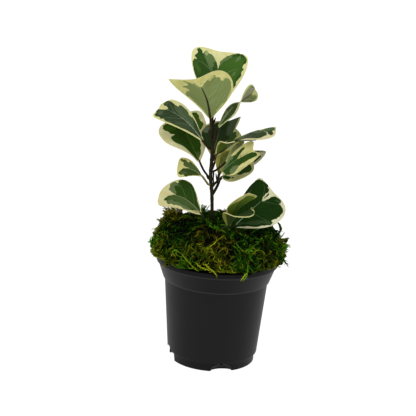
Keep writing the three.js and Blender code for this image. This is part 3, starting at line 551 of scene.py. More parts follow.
leaves = {
    "leaf_top_back": {
        "base": [-11.7, 2.6, 218.5], "tip": [-8.9, 21.8, 272.2], "upper": [0.31, -0.9, 0.1],
        "wide": [26.3, 25.6], "shoulder": [0.8, 0.85], "straight": [5.3, 5.2],
        "corner": [2.3, 2.8], "lift": [7, 4.2], "fold": [23, 14], "foldAtTip": [3, 10],
        "arch": -7, "petiole": [[-11.7, 2.2, 209.5], [-11.8, 3.4, 213.5]],
        "green": [
            [(0, 10), (0, 72), (-3, 78), (-8, 84), (-16, 88), (-27, 92), (-38, 92), (-48, 95),
             (-54, 92), (-60, 88), (-64, 92), (-70, 93), (-77, 93), (-84, 90), (-78, 87),
             (-88, 82), (-91, 80), (-76, 78), (-90, 77), (-95, 73), (-92, 67), (-88, 60),
             (-76, 52), (-50, 34)],
            [(0, 10), (0, 72), (3, 78), (5, 84), (12, 88), (26, 94), (42, 96.5), (62, 98),
             (80, 96), (90, 92), (96, 88), (94, 84), (87, 83), (82, 78), (87, 76), (81, 70),
             (82, 66), (77, 62), (68, 58), (67, 52), (58, 46), (44, 32)],
        ],
        "mid": [
            [(10, 50), (6, 80), (30, 90), (60, 94), (86, 90), (80, 74), (60, 56), (40, 44)],
            [(-60, 66), (-86, 74), (-84, 66), (-70, 58)],
        ],
        "grey": [
            [(-58, 88), (-48, 94), (-38, 91), (-24, 92), (-8, 83), (-20, 81), (-17, 76),
             (-22, 72), (-14, 68), (-27, 72), (-38, 76), (-46, 82)],
            [(5, 78), (4, 85), (14, 89), (26, 93.5), (44, 96), (40, 92), (28, 88), (14, 84)],
            [(70, 94), (74, 92), (66, 86), (57, 87), (62, 92)],
            [(60, 72), (61, 68), (50, 63), (48, 66)],
        ],
        "pale": [[(-55, 89), (-48, 95), (-40, 92), (-42, 89), (-50, 87)]],
        "veins": [
            [(-16, 66), (-38, 72), (-56, 75.5), (-80, 76.5)],
            [(6, 60), (40, 71), (68, 76)],
            [(-2, 58), (-28, 70), (-44, 80)],
        ],
        "look": {"cream": "#e2e0a4", "creamDeep": "#d8d693", "dark": "#34581b",
                 "darkDeep": "#284812", "mid": "#3f6420", "grey": "#607846", "pale": "#98aa6b",
                 "rib": "#96a870"},
    },
    "leaf_top_front": {
        "base": [-13.6, -3, 217.8], "tip": [-27.3, -14.3, 253.5], "upper": [0.17, 0.98, 0.14],
        "wide": [26.1, 24.7], "shoulder": [0.66, 0.97], "straight": [3.3, 6],
        "corner": [2.1, 1.3], "lift": [14, 5.3], "fold": [11, 22], "foldAtTip": [8, 7],
        "sweep": -2.8, "petiole": [[-12.1, -2.2, 207.5], [-12.9, -3, 212]],
        "ribThick": [1.05, 0.3, 0.78],
        "green": [
            [(2, 2), (12, 12), (24, 24), (36, 34), (48, 44), (60, 56), (69, 60), (70, 64),
             (64, 68), (56, 71.5), (50, 70), (48, 74), (54, 79), (67, 82), (58, 84), (44, 85),
             (40, 88), (46, 92), (53, 96), (44, 96), (30, 92), (24, 88.5), (16, 90), (10, 84),
             (0, 77), (-6, 80), (-14, 84), (-26, 87.5), (-40, 88), (-52, 90), (-60, 87.5),
             (-57, 84), (-62, 82), (-70, 80), (-67, 76), (-70, 72.5), (-76, 72), (-82, 74),
             (-88, 73), (-94, 68), (-94, 63), (-90, 56), (-82, 48), (-70, 40), (-62, 32),
             (-50, 27), (-36, 18), (-20, 10), (-6, 2)],
            [(-6, 88.5), (-11, 88), (-6, 84), (-2, 85)],
        ],
        "mid": [[(2, 6), (30, 32), (60, 60), (44, 70), (36, 84), (10, 78), (2, 60)]],
        "grey": [[(-10, 70), (-30, 74), (-50, 80), (-56, 86), (-40, 87), (-20, 84)]],
        "pale": [
            [(-32, 88), (-52, 89.5), (-56, 86), (-34, 84)],
            [(-46, 28), (-54, 27), (-36, 17), (-26, 12), (-22, 15)],
        ],
        "underVeins": [
            [(-6, 50), (-28, 58), (-56, 70), (-68, 76)],
            [(-4, 34), (-22, 40), (-50, 48)],
            [(2, 72), (16, 84), (30, 92), (48, 98)],
        ],
        "look": {"rib": "#8f9a68", "underDark": "#7b8a55", "underDarkDeep": "#6e7c47",
                 "underMid": "#75824d", "underGrey": "#717c46"},
    },
    "leaf_upper_right": {
        "base": [-6.9, -2.6, 209.3], "tip": [24.1, -6.2, 244.5], "upper": [-0.39, -0.81, 0.1],
        "wide": [6.6, 8.6], "shoulder": [0.89, 0.77], "straight": [2.4, 3.6], "corner": [2.3, 2],
        "lift": [-2.3, 11.3], "fold": [15, 17], "foldAtTip": [-18, -16], "sweep": -3.7,
        "twist": 168, "twistFrom": 0.25, "twistTo": 1.08,
        "petiole": [[-9.6, -1.5, 199.4], [-8.2, -2.4, 204]],
        "green": [
            [(0, 5), (-14, 8), (-32, 17), (-46, 26), (-58, 36), (-66, 46), (-62, 55), (-30, 62),
             (24, 62), (56, 56), (60, 48), (57, 40), (46, 30), (34, 22), (18, 12)],
            [(-30, 66), (-66, 70), (-88, 78), (-89, 85), (-82, 92), (-62, 96), (-42, 95),
             (-16, 90), (2, 90), (18, 96), (34, 99), (54, 96), (70, 92), (75, 87), (66, 80),
             (40, 71), (10, 66)],
        ],
        "grey": [
            [(-4, 8), (-22, 20), (-28, 34), (-20, 46), (-6, 50), (-4, 30)],
            [(-30, 18), (-44, 26), (-56, 36), (-62, 48), (-50, 55), (-38, 44), (-36, 30)],
            [(-30, 68), (-60, 74), (-70, 84), (-40, 84), (-10, 76)],
            [(10, 68), (56, 78), (70, 88), (40, 97), (20, 92), (6, 80)],
        ],
        "look": {"cream": "#c9cb98", "creamDeep": "#b4b878", "dark": "#30461c",
                 "darkDeep": "#253a14", "grey": "#656b4a", "rib": "#767c54",
                 "underDark": "#6f7a4a", "underDarkDeep": "#63703e", "underGrey": "#84836a",
                 "underCream": "#b8ba84", "underCreamDeep": "#a5a868", "underRib": "#5a4c2a",
                 "gloss": 0.14},
    },
    "leaf_left_upper": {
        "base": [-19.2, -5, 198.5], "tip": [-57, -11.5, 227.2], "upper": [0.54, -0.57, 0.63],
        "wide": [16.8, 14.3], "shoulder": [0.88, 0.95], "straight": [2.2, 1.9],
        "corner": [2.7, 2.5], "lift": [5.8, -5.4], "fold": [15, 17], "foldAtTip": [4, 3],
        "sweep": 5.8, "petiole": [[-12.3, -1.2, 190.6], [-15.4, -3.2, 193.8]],
        "green": [
            [(6, 2), (20, 9), (30, 16), (38, 20), (46, 28), (52, 36), (50, 45), (64, 50),
             (70, 58), (78, 68), (70, 72), (58, 71), (60, 77), (74, 88), (76, 96), (68, 100),
             (30, 98), (22, 94), (22, 89), (8, 84), (-6, 88), (-16, 94), (-24, 100), (-46, 100),
             (-56, 96.5), (-76, 96), (-89, 92), (-80, 88.5), (-89, 84), (-78, 80), (-91, 76),
             (-86, 68), (-80, 58), (-72, 48), (-60, 40), (-42, 28), (-28, 18), (-12, 9), (-4, 3)],
        ],
        "mid": [[(-10, 16), (-40, 34), (-66, 50), (-60, 66), (-30, 56), (-12, 40)]],
        "grey": [
            [(56, 72), (72, 69), (70, 60), (62, 52), (48, 45), (48, 36), (36, 32), (20, 28),
             (8, 20), (-2, 30), (0, 50), (6, 60), (22, 70), (50, 80)],
            [(42, 96.5), (64, 96), (50, 92), (34, 92)],
            [(-48, 96), (-30, 96), (-28, 88), (-54, 88), (-70, 90)],
            [(-88, 76), (-74, 72), (-70, 66), (-86, 68)],
        ],
        "veins": [
            [(0, 20), (10, 38), (28, 56), (58, 70)],
            [(0, 46), (14, 58), (42, 70)],
            [(0, 66), (20, 76), (60, 92)],
            [(0, 30), (-20, 42), (-50, 54), (-70, 62)],
            [(0, 50), (-20, 60), (-50, 74), (-76, 82)],
        ],
        # painted sheen: this leaf's greyish dark and grey colours stand in for the sheen on its
        # skin
        "look": {"cream": "#dad89c", "creamDeep": "#cecb86", "dark": "#34482a",
                 "darkDeep": "#293c20", "mid": "#3a4c2e", "grey": "#4a5c3c", "vein": "#64755a",
                 "rib": "#a0ac90", "ribShow": 0.95, "gloss": 0.12},
    },
    "leaf_left_middle": {
        "base": [-20.6, 2, 177.9], "tip": [-41.7, 11.3, 214.7], "upper": [0.48, -0.63, 0.42],
        "wide": [27.4, 23.1], "shoulder": [0.61, 0.81], "straight": [6.2, 2],
        "corner": [2.6, 2.2], "lift": [3.9, 3.2], "fold": [50, 16], "foldAtTip": [-15, 7],
        "petiole": [[-12.3, 0.6, 165.4], [-16.8, 1.2, 171]],
        "green": [
            [(-4, 3), (5, 8), (14, 12), (22, 16), (26, 20), (28, 25), (34, 28), (36, 34),
             (40, 40), (48, 48), (54, 56), (68, 59), (84, 64), (83, 68), (79, 72), (78, 78),
             (83, 82), (78, 90), (68, 92.5), (58, 92), (38, 88.5), (8, 88), (-18, 92), (-36, 94),
             (-54, 94), (-64, 92), (-70, 86), (-68, 82), (-61, 80), (-57, 73), (-43, 69),
             (-54, 68), (-62, 68), (-70, 64), (-70, 58), (-66, 52), (-58, 48), (-46, 40),
             (-40, 32), (-34, 24), (-24, 16), (-12, 8)],
        ],
        "mid": [
            [(50, 58), (80, 65), (78, 88), (60, 90), (40, 80)],
            [(-50, 90), (-62, 88), (-58, 80), (-40, 76), (-20, 84)],
        ],
        "grey": [[(12, 22), (18, 16), (8, 8), (-2, 4), (-2, 10), (2, 18)]],
        "look": {"cream": "#ddd9aa", "creamDeep": "#cfca92", "dark": "#304e0c",
                 "darkDeep": "#244206", "mid": "#3a5816", "grey": "#465a2c", "rib": "#5c6c3c",
                 "gloss": 0.04},
    },
    "leaf_behind_stem": {
        "base": [-10.3, 5.4, 182.5], "tip": [-3.2, 17.7, 211.8], "upper": [-0.19, -0.96, 0.33],
        "wide": [15.2, 15.6], "shoulder": [0.62, 0.95], "straight": [3.3, 7.4],
        "corner": [2.1, 1.7], "lift": [-4.3, 10.3], "fold": [14, 16], "foldAtTip": [10, 12],
        "petiole": [[-10.2, 2.1, 176.5], [-10.3, 3.6, 179.5]],
        "green": [
            [(6, 3), (-14, 14), (-40, 22), (-66, 32), (-80, 42), (-93, 52), (-97, 60), (-91, 69),
             (-82, 79), (-62, 85), (-42, 90), (-18, 96), (24, 100), (62, 100), (93, 98), (92, 94),
             (88, 90), (86, 84), (85, 76), (82, 66), (74, 56), (58, 48), (40, 42), (30, 36),
             (26, 20), (12, 10)],
        ],
        "mid": [[(46, 106), (100, 106), (105, 90), (94, 70), (72, 60), (50, 64), (42, 80)]],
        "grey": [[(-90, 72), (-76, 79), (-60, 78), (-60, 68), (-63, 60), (-74, 58), (-91, 60)]],
        "look": {"cream": "#b9b682", "creamDeep": "#a5a26c", "dark": "#29391b",
                 "darkDeep": "#1f3013", "mid": "#45523a", "grey": "#56624a", "rib": "#66724a",
                 "gloss": 0.05},
    },
    "leaf_right_rear": {
        "base": [-6.5, 10.5, 180.5], "tip": [6.7, 20.6, 206.8], "upper": [0.06, -1, 0.27],
        "wide": [12, 11.5], "shoulder": [0.75, 0.83], "lift": [0, -2.1], "sweep": 1.2,
        "petiole": [[-9.2, 2.1, 172.6], [-8, 6, 176]],
        "green": [
            [(-10, 10), (-50, 50), (-70, 80), (0, 86), (18, 90), (34, 92), (46, 96), (64, 94),
             (62, 87), (54, 80), (48, 72), (40, 64), (30, 40), (10, 10)],
        ],
        "pale": [[(34, 92), (46, 96), (64, 94), (62, 88), (54, 80), (44, 86)]],
        "look": {"cream": "#c8c888", "creamDeep": "#b0b270", "dark": "#46602a",
                 "darkDeep": "#3a521c", "pale": "#949d66"},
    },
    "leaf_right_upper": {
        "base": [-7.5, -2.2, 185.7], "tip": [42.9, -6.9, 211.9], "upper": [-0.08, 0.87, 0.44],
        "wide": [15, 19.8], "shoulder": [0.97, 0.41], "straight": [3.1, 3.2],
        "corner": [2.2, 2.6], "lift": [0.5, 0.6], "fold": [6, 38], "foldAtTip": [-2, -18],
        "arch": -3, "sweep": 5.4, "twist": -64, "twistFrom": -0.02, "twistTo": 0.33,
        "petiole": [[-9.2, -1.7, 181], [-8.6, -2.2, 183]], "ribThick": [0.5, 0.12, 0.4],
        "green": [
            [(4, 3), (-20, 12), (-40, 30), (-70, 42), (-100, 50), (-110, 60), (-100, 68),
             (-80, 74), (-36, 80), (0, 85), (24, 87), (42, 86), (52, 82), (66, 78), (72, 73),
             (62, 66), (50, 60), (36, 55), (42, 50), (66, 48), (84, 52), (88, 58), (92, 72),
             (110, 74), (110, 46), (90, 40), (80, 30), (62, 22), (40, 14), (20, 7)],
            [(-58, 76), (-84, 83), (-100, 88), (-98, 93), (-78, 96.5), (-34, 99), (0, 98),
             (0, 95), (22, 96), (38, 95), (46, 92), (30, 89), (8, 88), (-26, 82)],
        ],
        "mid": [
            [(-58, 76), (-84, 83), (-100, 88), (-98, 93), (-78, 96.5), (-34, 98), (-20, 90),
             (-26, 82)],
        ],
        "grey": [
            [(-100, 42), (-100, 58), (-60, 60), (-20, 52), (10, 46), (-40, 40)],
            [(-100, 60), (-96, 68), (-60, 72), (-20, 78), (-30, 70), (-66, 62)],
        ],
        "look": {"cream": "#e0d9ac", "creamDeep": "#d2ca94", "dark": "#33471f",
                 "darkDeep": "#283b16", "mid": "#44602a", "grey": "#5c6843", "rib": "#55653f",
                 "underDark": "#4c5c24", "underDarkDeep": "#405018", "underGrey": "#5b6336",
                 "underCream": "#c4be78", "underCreamDeep": "#8c8e50", "underRib": "#3c2a12",
                 "underMid": "#4e5c28", "stalk": "#2a2410", "stalkDeep": "#171208",
                 "gloss": 0.03},
    },
    "leaf_right_inner": {
        "base": [-3.6, 1.4, 167.6], "tip": [5.6, 7.8, 189.4], "upper": [-0.49, 0.8, 0.31],
        "wide": [8.4, 5.2], "shoulder": [0.5, 0.63], "straight": [2.2, 2.3], "corner": [1.6, 2],
        "lift": [1, -1.2], "fold": [15, 8], "foldAtTip": [10, 4], "sweep": 5.3,
        "petiole": [[-4.1, 3, 163.4], [-3.8, 2.2, 165.4]],
        "green": [
            [(-30, 34), (16, 46), (56, 60), (60, 76), (36, 88), (0, 92), (-46, 88), (-94, 74),
             (-100, 50), (-80, 34)],
        ],
        # painted light: the underside's dark colours are lighter than its own, to make up for the
        # shade it lies in
        "look": {"underDark": "#6c7434", "underDarkDeep": "#606828", "underCream": "#a8a450",
                 "underCreamDeep": "#8b883a", "cream": "#c8c582", "underRib": "#5c6232",
                 "stalk": "#6c6a34", "stalkDeep": "#4c4a20"},
    },
    "leaf_right_middle": {
        "base": [1.5, -9.5, 181.3], "tip": [16.4, -6.8, 200.5], "upper": [-0.72, -0.27, 0.18],
        "wide": [5, 5], "shoulder": [0.74, 0.77], "straight": [3.5, 3.5], "lift": [-1.4, 0.8],
        "fold": [29, 12], "foldAtTip": [7, 14], "sweep": -0.9,
        "petiole": [[-9.4, -1.2, 170.6], [-5.8, -5, 173.4], [-0.8, -9, 179]],
        "green": [
            [(-12, 8), (-42, 24), (-66, 44), (-88, 64), (-82, 82), (34, 94), (96, 86), (105, 72),
             (96, 62), (14, 62), (-12, 50), (6, 38), (48, 28), (24, 12)],
        ],
        # painted light: the upper side's dark and cream colours are much lighter than its own, to
        # make up for the shade it lies in
        "look": {"cream": "#d0cc80", "creamDeep": "#b8b464", "dark": "#a6b07e",
                 "darkDeep": "#8c9762", "rib": "#6a7440", "ribShow": 0.3, "underDark": "#727b54",
                 "underDarkDeep": "#5d6840", "underRib": "#2c3a16", "stalk": "#2e2610",
                 "stalkDeep": "#181206"},
    },
    "leaf_right_front": {
        "base": [-2.3, -15, 173.5], "tip": [24.3, -25.4, 198.1], "upper": [-0.45, -0.71, 0.65],
        "wide": [8.6, 13.4], "shoulder": [0.72, 0.46], "straight": [5, 2.7], "corner": [2.2, 3.7],
        "lift": [12.3, 16], "fold": [17, 0], "foldAtTip": [6, 15], "sweep": -1.5,
        "petiole": [[-3.7, -2.6, 163.4], [-3.4, -8.5, 167.8]],
        "green": [
            [(0, 6), (20, 10), (38, 12), (56, 17), (70, 24), (80, 32), (82, 38), (76, 44),
             (62, 52), (60, 60), (64, 68), (66, 76), (74, 82), (80, 88), (66, 94), (40, 97.5),
             (18, 94), (10, 84), (8, 72), (6, 60), (0, 52), (-4, 30)],
            [(0, 6), (-50, 2), (-110, 6), (-110, 38), (-62, 42), (-54, 52), (-62, 60), (-77, 68),
             (-70, 75), (-52, 75.5), (-38, 68), (-16, 58), (0, 53), (4, 30)],
        ],
        "grey": [
            [(34, 28), (50, 25), (74, 25), (98, 28), (94, 38), (78, 45), (62, 53), (46, 50),
             (34, 40)],
            [(-6, 8), (-14, 20), (-24, 32), (-40, 44), (-60, 48), (-110, 42), (-110, 3),
             (-30, 2)],
        ],
        "pale": [[(-8, 58), (-22, 66), (-20, 70), (-4, 64)]],
        "look": {"cream": "#d9d48c", "creamDeep": "#bcb878", "dark": "#31501a",
                 "darkDeep": "#264410", "grey": "#66764a", "pale": "#949964", "rib": "#76845a"},
    },
    "leaf_right_low": {
        "base": [-0.9, -4, 167.1], "tip": [26.2, -5.2, 180.4], "upper": [-0.11, -0.47, 0.91],
        "wide": [8, 15.8], "shoulder": [0.75, 0.43], "straight": [3, 1.3], "lift": [0, 1.6],
        "fold": [12, 13], "foldAtTip": [7, 9], "sweep": -0.8,
        "petiole": [[-1.4, -1.4, 164.6], [-1.2, -2.8, 165.8]],
        "green": [
            [(30, 43), (52, 52), (60, 58), (52, 67), (60, 75), (60, 84), (36, 92), (6, 92),
             (-38, 88), (-50, 76), (-16, 58), (6, 44)],
            [(0, 4), (4, 14), (24, 22), (44, 30), (54, 25), (62, 19), (42, 13), (28, 5)],
            [(40, 32), (54, 37), (68, 36), (56, 28)],
        ],
        "look": {"cream": "#d4d3a0", "creamDeep": "#c2c284", "dark": "#284e0c",
                 "darkDeep": "#1e4206", "rib": "#3c4c20", "gloss": 0.05},
    },
    "leaf_right_far": {
        "base": [2.7, 8.5, 167.9], "tip": [36.3, 12.2, 188.8], "upper": [-0.15, -0.48, 0.91],
        "wide": [8.8, 9.6], "shoulder": [0.73, 0.65], "straight": [3.6, 3.3],
        "corner": [1.2, 1.7], "lift": [-2, -1], "fold": [13, 9], "foldAtTip": [7, 13],
        "sweep": 0.9, "petiole": [[-2.2, 2.2, 162.8], [-0.2, 5.6, 164.8]],
        "green": [
            [(54, 64), (32, 71), (16, 78), (12, 84), (26, 87), (44, 84), (58, 78), (68, 70)],
            [(-80, 76), (-66, 82), (-44, 88), (-18, 95), (-4, 94), (-30, 86), (-54, 80)],
            [(0, 10), (-40, 40), (-50, 64), (0, 60), (40, 50), (40, 30)],
        ],
        "look": {"cream": "#cccaa6", "creamDeep": "#b9b78c", "dark": "#2c4014",
                 "darkDeep": "#22360c"},
    },
    "leaf_left_small": {
        "base": [-17.5, -2, 166.2], "tip": [-39.5, -7.1, 173], "upper": [0.39, -0.74, 0.65],
        "wide": [9.5, 10], "shoulder": [0.82, 0.87], "straight": [3.6, 3.2], "lift": [0, 1.3],
        "fold": [12, 12], "foldAtTip": [6, 6], "sweep": 3.3,
        "petiole": [[-11.9, -0.9, 159], [-14.2, -2, 162]],
        "green": [
            [(4, 0), (26, 14), (38, 26), (52, 40), (62, 50), (69, 58), (52, 60), (64, 68),
             (80, 76), (82, 83), (89, 88), (80, 92), (66, 88), (52, 80), (36, 80), (18, 72),
             (10, 62), (4, 56), (2, 64), (-2, 76), (-12, 83), (-28, 88), (-42, 94), (-60, 93),
             (-77, 84), (-70, 73), (-83, 72), (-95, 64), (-82, 58), (-72, 48), (-46, 30),
             (-12, 10), (-4, 0)],
        ],
        "grey": [
            [(82, 88), (76, 76), (50, 64), (62, 56), (46, 40), (32, 24), (16, 12), (8, 28),
             (2, 48), (14, 64), (32, 76), (58, 84)],
            [(-40, 90), (-34, 80), (-44, 72), (-50, 58), (-64, 66), (-70, 80)],
        ],
        "look": {"cream": "#d6d18e", "creamDeep": "#c8c27c", "dark": "#3c5020",
                 "darkDeep": "#314418", "grey": "#4e6032", "rib": "#8e9a6a", "stalk": "#8a8650",
                 "stalkDeep": "#66602e"},
    },
    "leaf_left_low": {
        "base": [-16.1, -8, 133.6], "tip": [-53.4, -18.5, 151.8], "upper": [0.51, -0.77, 0.63],
        "wide": [12.2, 16.5], "shoulder": [0.84, 0.48], "straight": [1.4, 3],
        "corner": [2.3, 2.6], "lift": [1.5, -3.6], "fold": [-11, 6.5], "foldAtTip": [0, 8],
        "sweep": 7, "petiole": [[-8.2, -1.2, 112], [-11.6, -4.6, 124]],
        "green": [
            [(4, 4), (22, 8), (30, 14), (38, 17.5), (50, 20), (62, 24), (78, 30), (90, 36),
             (96, 44), (98, 52), (98, 60), (94, 66), (86, 71), (76, 68), (72, 72), (80, 78),
             (74, 84), (60, 88), (46, 84), (30, 84), (18, 76), (8, 70), (6, 64), (0, 72),
             (-8, 80), (-20, 84), (-36, 88), (-53, 85), (-49, 80), (-62, 80), (-77, 76),
             (-71, 69), (-77, 64), (-68, 56), (-68, 48), (-70, 40), (-60, 32), (-40, 23),
             (-26, 12), (-12, 6)],
        ],
        "mid": [
            [(0, 12), (-20, 20), (-46, 34), (-46, 50), (-40, 68), (-46, 80), (-20, 82), (0, 66)],
        ],
        "grey": [
            [(60, 88), (74, 84), (78, 78), (70, 71), (54, 62), (58, 68), (54, 75), (36, 72),
             (12, 64), (12, 70), (20, 78), (34, 84)],
            [(-62, 82), (-46, 77), (-40, 70), (-44, 60), (-48, 48), (-46, 36), (-34, 26),
             (-52, 28), (-66, 36), (-68, 48), (-68, 58), (-72, 68)],
        ],
        "pale": [[(-38, 22), (-16, 16), (-2, 8), (-4, 2), (-18, 8)]],
        "veins": [
            [(0, 40), (24, 48), (46, 56), (64, 64), (78, 70)],
            [(0, 20), (30, 26), (66, 36), (86, 48)],
            [(0, 34), (-30, 44), (-60, 56)],
        ],
        "look": {"stalk": "#3c4a1c", "stalkDeep": "#202c0c", "cream": "#d9d3a0",
                 "creamDeep": "#cbc48a", "dark": "#2c4a0e", "darkDeep": "#223f07",
                 "mid": "#465c2a", "grey": "#5f7044", "pale": "#a09f6f", "vein": "#50653a",
                 "rib": "#92966a"},
    },
    "leaf_right_large": {
        "base": [12.1, -22, 128.2], "tip": [44.2, -17, 160.5], "upper": [-0.08, -0.99, 0.28],
        "wide": [17, 23.4], "shoulder": [0.89, 0.66], "straight": [2.4, 3.5], "corner": [2, 2],
        "lift": [3.9, 9.3], "fold": [11, 9], "foldAtTip": [5, 4], "sweep": -0.8,
        "petiole": [[-4.4, -1.4, 107], [3.2, -10, 116]],
        "green": [
            [(-6, 0), (-50, 6), (-90, 24), (-110, 44), (-104, 58), (-97, 76), (-98, 84),
             (-96, 88), (-88, 92), (-68, 96), (-52, 98), (-38, 100), (-34, 96), (-22, 96),
             (-15, 92), (-14, 86), (-10, 80), (-4, 76), (2, 72), (6, 76), (10, 84), (12, 91),
             (18, 96), (32, 96.5), (46, 96), (51, 91), (50, 88), (58, 88), (66, 86), (76, 84),
             (83, 80), (84, 76), (88, 72), (86, 66), (81, 63), (78, 58), (86, 58), (90, 53),
             (82, 48), (74, 43), (68, 39), (58, 31), (42, 24), (26, 15), (14, 8), (6, 0)],
            [(-2, 77), (-6, 81), (-7, 92), (-1, 90), (0, 84)],
        ],
        "grey": [
            [(3, 5), (6, 14), (16, 22), (30, 32), (44, 42), (62, 51), (76, 56), (86, 56),
             (84, 51), (68, 44), (54, 34), (34, 25), (16, 16)],
            [(-74, 60), (-70, 68), (-76, 73), (-80, 68)],
            [(26, 90), (44, 95), (50, 91), (40, 88)],
        ],
        "veins": [
            [(2, 72), (-12, 78), (-28, 86), (-46, 92), (-64, 92)],
            [(4, 72), (12, 76), (30, 82), (52, 87)],
            [(2, 40), (30, 47), (58, 52), (82, 56)],
        ],
        "look": {"cream": "#d8d7b6", "creamDeep": "#c6c49a", "dark": "#18340a",
                 "darkDeep": "#112a04", "grey": "#2f4422", "vein": "#3c5630", "stalk": "#24381a",
                 "stalkDeep": "#14220c", "rib": "#7d9070", "ribShow": 0.85, "gloss": 0.04},
    },
    "leaf_right_cupped": {
        "base": [7.9, -26.6, 130.9], "tip": [23.5, -27.5, 160.7], "upper": [-0.17, 0.5, 0.53],
        "wide": [11.2, 7.9], "shoulder": [0.95, 0.46], "straight": [8, 2.1], "corner": [1.6, 1.3],
        "lift": [1, 0], "fold": [41, 11], "foldAtTip": [-1, 7], "sweep": 4.2,
        "petiole": [[-5.4, -2.1, 104], [-1, -13, 115]], "ribThick": [0.45, 0.14, 0.8],
        "green": [
            [(0, 2), (30, 24), (60, 32), (80, 36), (92, 42), (82, 52), (64, 60), (40, 65),
             (20, 71), (8, 80), (-4, 90), (-24, 94), (-60, 94), (-90, 92), (-95, 84), (-90, 60),
             (-80, 40), (-50, 16)],
        ],
        "look": {"underDark": "#52691f", "underDarkDeep": "#455c14", "underCream": "#b2af6c",
                 "underCreamDeep": "#949450", "underRib": "#34461a", "cream": "#c4c188",
                 "dark": "#3a5018", "stalk": "#2e3e16", "stalkDeep": "#1a260c"},
    },
    "leaf_right_rolled": {
        "base": [7.2, -31, 131], "tip": [12, -44.2, 144], "upper": [0, 0.8, 0.6],
        "wide": [21.6, 8.5], "shoulder": [0.9, 0.6], "straight": [7, 2.4], "corner": [1.6, 2],
        "lift": [2, 2], "fold": [70, 5], "foldAtTip": [9, 8], "rollAtTip": [236, 0],
        "rollPower": 6, "arch": 85, "ribThick": [0.4, 0.12, 0.6],
        "petiole": [[-7.2, -2.1, 108], [-4.6, -17.4, 119]],
        "green": [
            [(10, 6), (30, 26), (56, 46), (80, 78), (54, 88), (24, 94), (0, 95), (-50, 95.5),
             (-93, 93), (-95, 80), (-80, 62), (-50, 38), (-20, 12)],
        ],
        # painted shade: the underside's dark and cream colours are darkened for the shade under
        # the rolled blade
        "look": {"underDark": "#34461c", "underDarkDeep": "#2a3a16", "underCream": "#767834",
                 "underCreamDeep": "#686b2c", "cream": "#cdca8c", "creamDeep": "#c0bc7c",
                 "dark": "#36482a", "underRib": "#2c3a16", "stalk": "#2c3a1a",
                 "stalkDeep": "#18220c"},
    },
}
blade = {
    "rows": 64, "columns": 64,
    # how much the columns draw together at the midrib and the rows at the tip
    "columnDraw": 1.15, "rowDraw": 1.5,
    "thickness": 0.62,
    # the width at the base and at the very tip, as shares of the widest
    "baseWidth": 0.03, "tipWidth": 0.1,
    # the share of the half width in which the fold turns, and the steps across a half
    "foldWithin": 0.15, "stepsAcross": 12,
    # how steeply the corners' lift grows across and along the leaf
    "liftAcross": 1.7, "liftAlong": 3,
    # a small step in leaf terms, for the way the skin looks
    "probe": 0.02,
    # petiole, and how far its foot is set down on the stem; then the rib below: where it
    # starts, its points, and the share of its radius by which its middle stands off the skin
    "petioleRadius": 0.96, "petioleSunk": 0.6, "ribFrom": 0.06, "ribPoints": 9, "ribProud": 0.15,
    # the painted rib of the upper side ends at this share of the length
    "ribFades": 0.88,
    # vein cords: how steeply they climb, and their radius at both ends
    "veinClimb": 0.9, "veinFrom": 0.34, "veinTo": 0.14,
    "underRougher": 0.1, "smoothBelow": 45,
}


def leafLength(leaf):
    return float(np.linalg.norm(np.array(leaf["tip"], float) - np.array(leaf["base"], float)))


def ofHalf(leaf, key, across):
    # the value of the half in which each place lies
    return np.where(across > 0, leaf[key][1], leaf[key][0])


def liftAhead(leaf, s, across):
    # how far the far corners draw each place past the tip
    return (ofHalf(leaf, "lift", across) * np.abs(across) ** blade["liftAcross"]
            * s ** blade["liftAlong"])


def marginShare(s, leaf, half):
    # width of one half at s along the leaf, as a share of its widest
    shoulder, straight, corner = (leaf[key][half] for key in ("shoulder", "straight", "corner"))
    least = blade["baseWidth"]
    u = s / shoulder
    near = least + (1 - least) * (straight * u - np.maximum(u, 0) ** straight) / (straight - 1)
    v = np.clip((s - shoulder) / (1 - shoulder), 0, 1)
    far = (1 - v ** corner) ** (1 / corner)
    far = np.maximum(far, np.where(s >= 1, blade["tipWidth"], 0))
    return np.where(s <= shoulder, near, far)


def bladePoints(leaf, s, across):
    # places on the blade's middle surface: s along, across the signed share of the half width
    base = np.array(leaf["base"], float)
    along = np.array(leaf["tip"], float) - base
    length = np.linalg.norm(along)
    along /= length
    up = np.array(leaf["upper"], float)
    up -= along * (up @ along)
    up /= np.linalg.norm(up)
    side = np.cross(along, up)
    arch = math.radians(leaf["arch"])
    if arch:
        radius = length / (2 * math.sin(arch / 2))
        slope = arch * (0.5 - s)
        y = length / 2 - radius * np.sin(slope)
        z = radius * (np.cos(slope) - math.cos(arch / 2))
    else:
        y, z, slope = length * s, 0 * s, 0 * s
    v = np.clip((s - leaf["twistFrom"]) / (leaf["twistTo"] - leaf["twistFrom"]), 0, 1)
    twist = math.radians(leaf["twist"]) * v * v * (3 - 2 * v)
    reach = np.abs(across)
    wide = ofHalf(leaf, "wide", across) * reach
    fold = ofHalf(leaf, "fold", across)
    fold = np.radians(fold + (ofHalf(leaf, "foldAtTip", across) - fold) * s)
    roll = np.radians(ofHalf(leaf, "rollAtTip", across) * s)
    out, rise, steps = 0, 0, blade["stepsAcross"]
    for k in range(steps):
        q = reach * (k + 0.5) / steps
        angle = fold * np.minimum(1, q / blade["foldWithin"]) + roll * q ** leaf["rollPower"]
        out = out + wide * np.cos(angle) / steps
        rise = rise + wide * np.sin(angle) / steps
    out = np.where(across > 0, out, -out)
    sideways = out * np.cos(twist) - rise * np.sin(twist)
    lifted = out * np.sin(twist) + rise * np.cos(twist)
    ahead = liftAhead(leaf, s, across)
    return (base
            + np.outer(y + ahead * np.cos(slope) - lifted * np.sin(slope), along)
            + np.outer(sideways + leaf["sweep"] * np.sin(math.pi * s), side)
            + np.outer(z + ahead * np.sin(slope) + lifted * np.cos(slope), up))


def flatPlace(leaf, s, across):
    # the same places on the leaf laid flat, in mm from the base
    return np.stack([across * ofHalf(leaf, "wide", across),
                     s * leafLength(leaf) + liftAhead(leaf, s, across)], axis=-1)


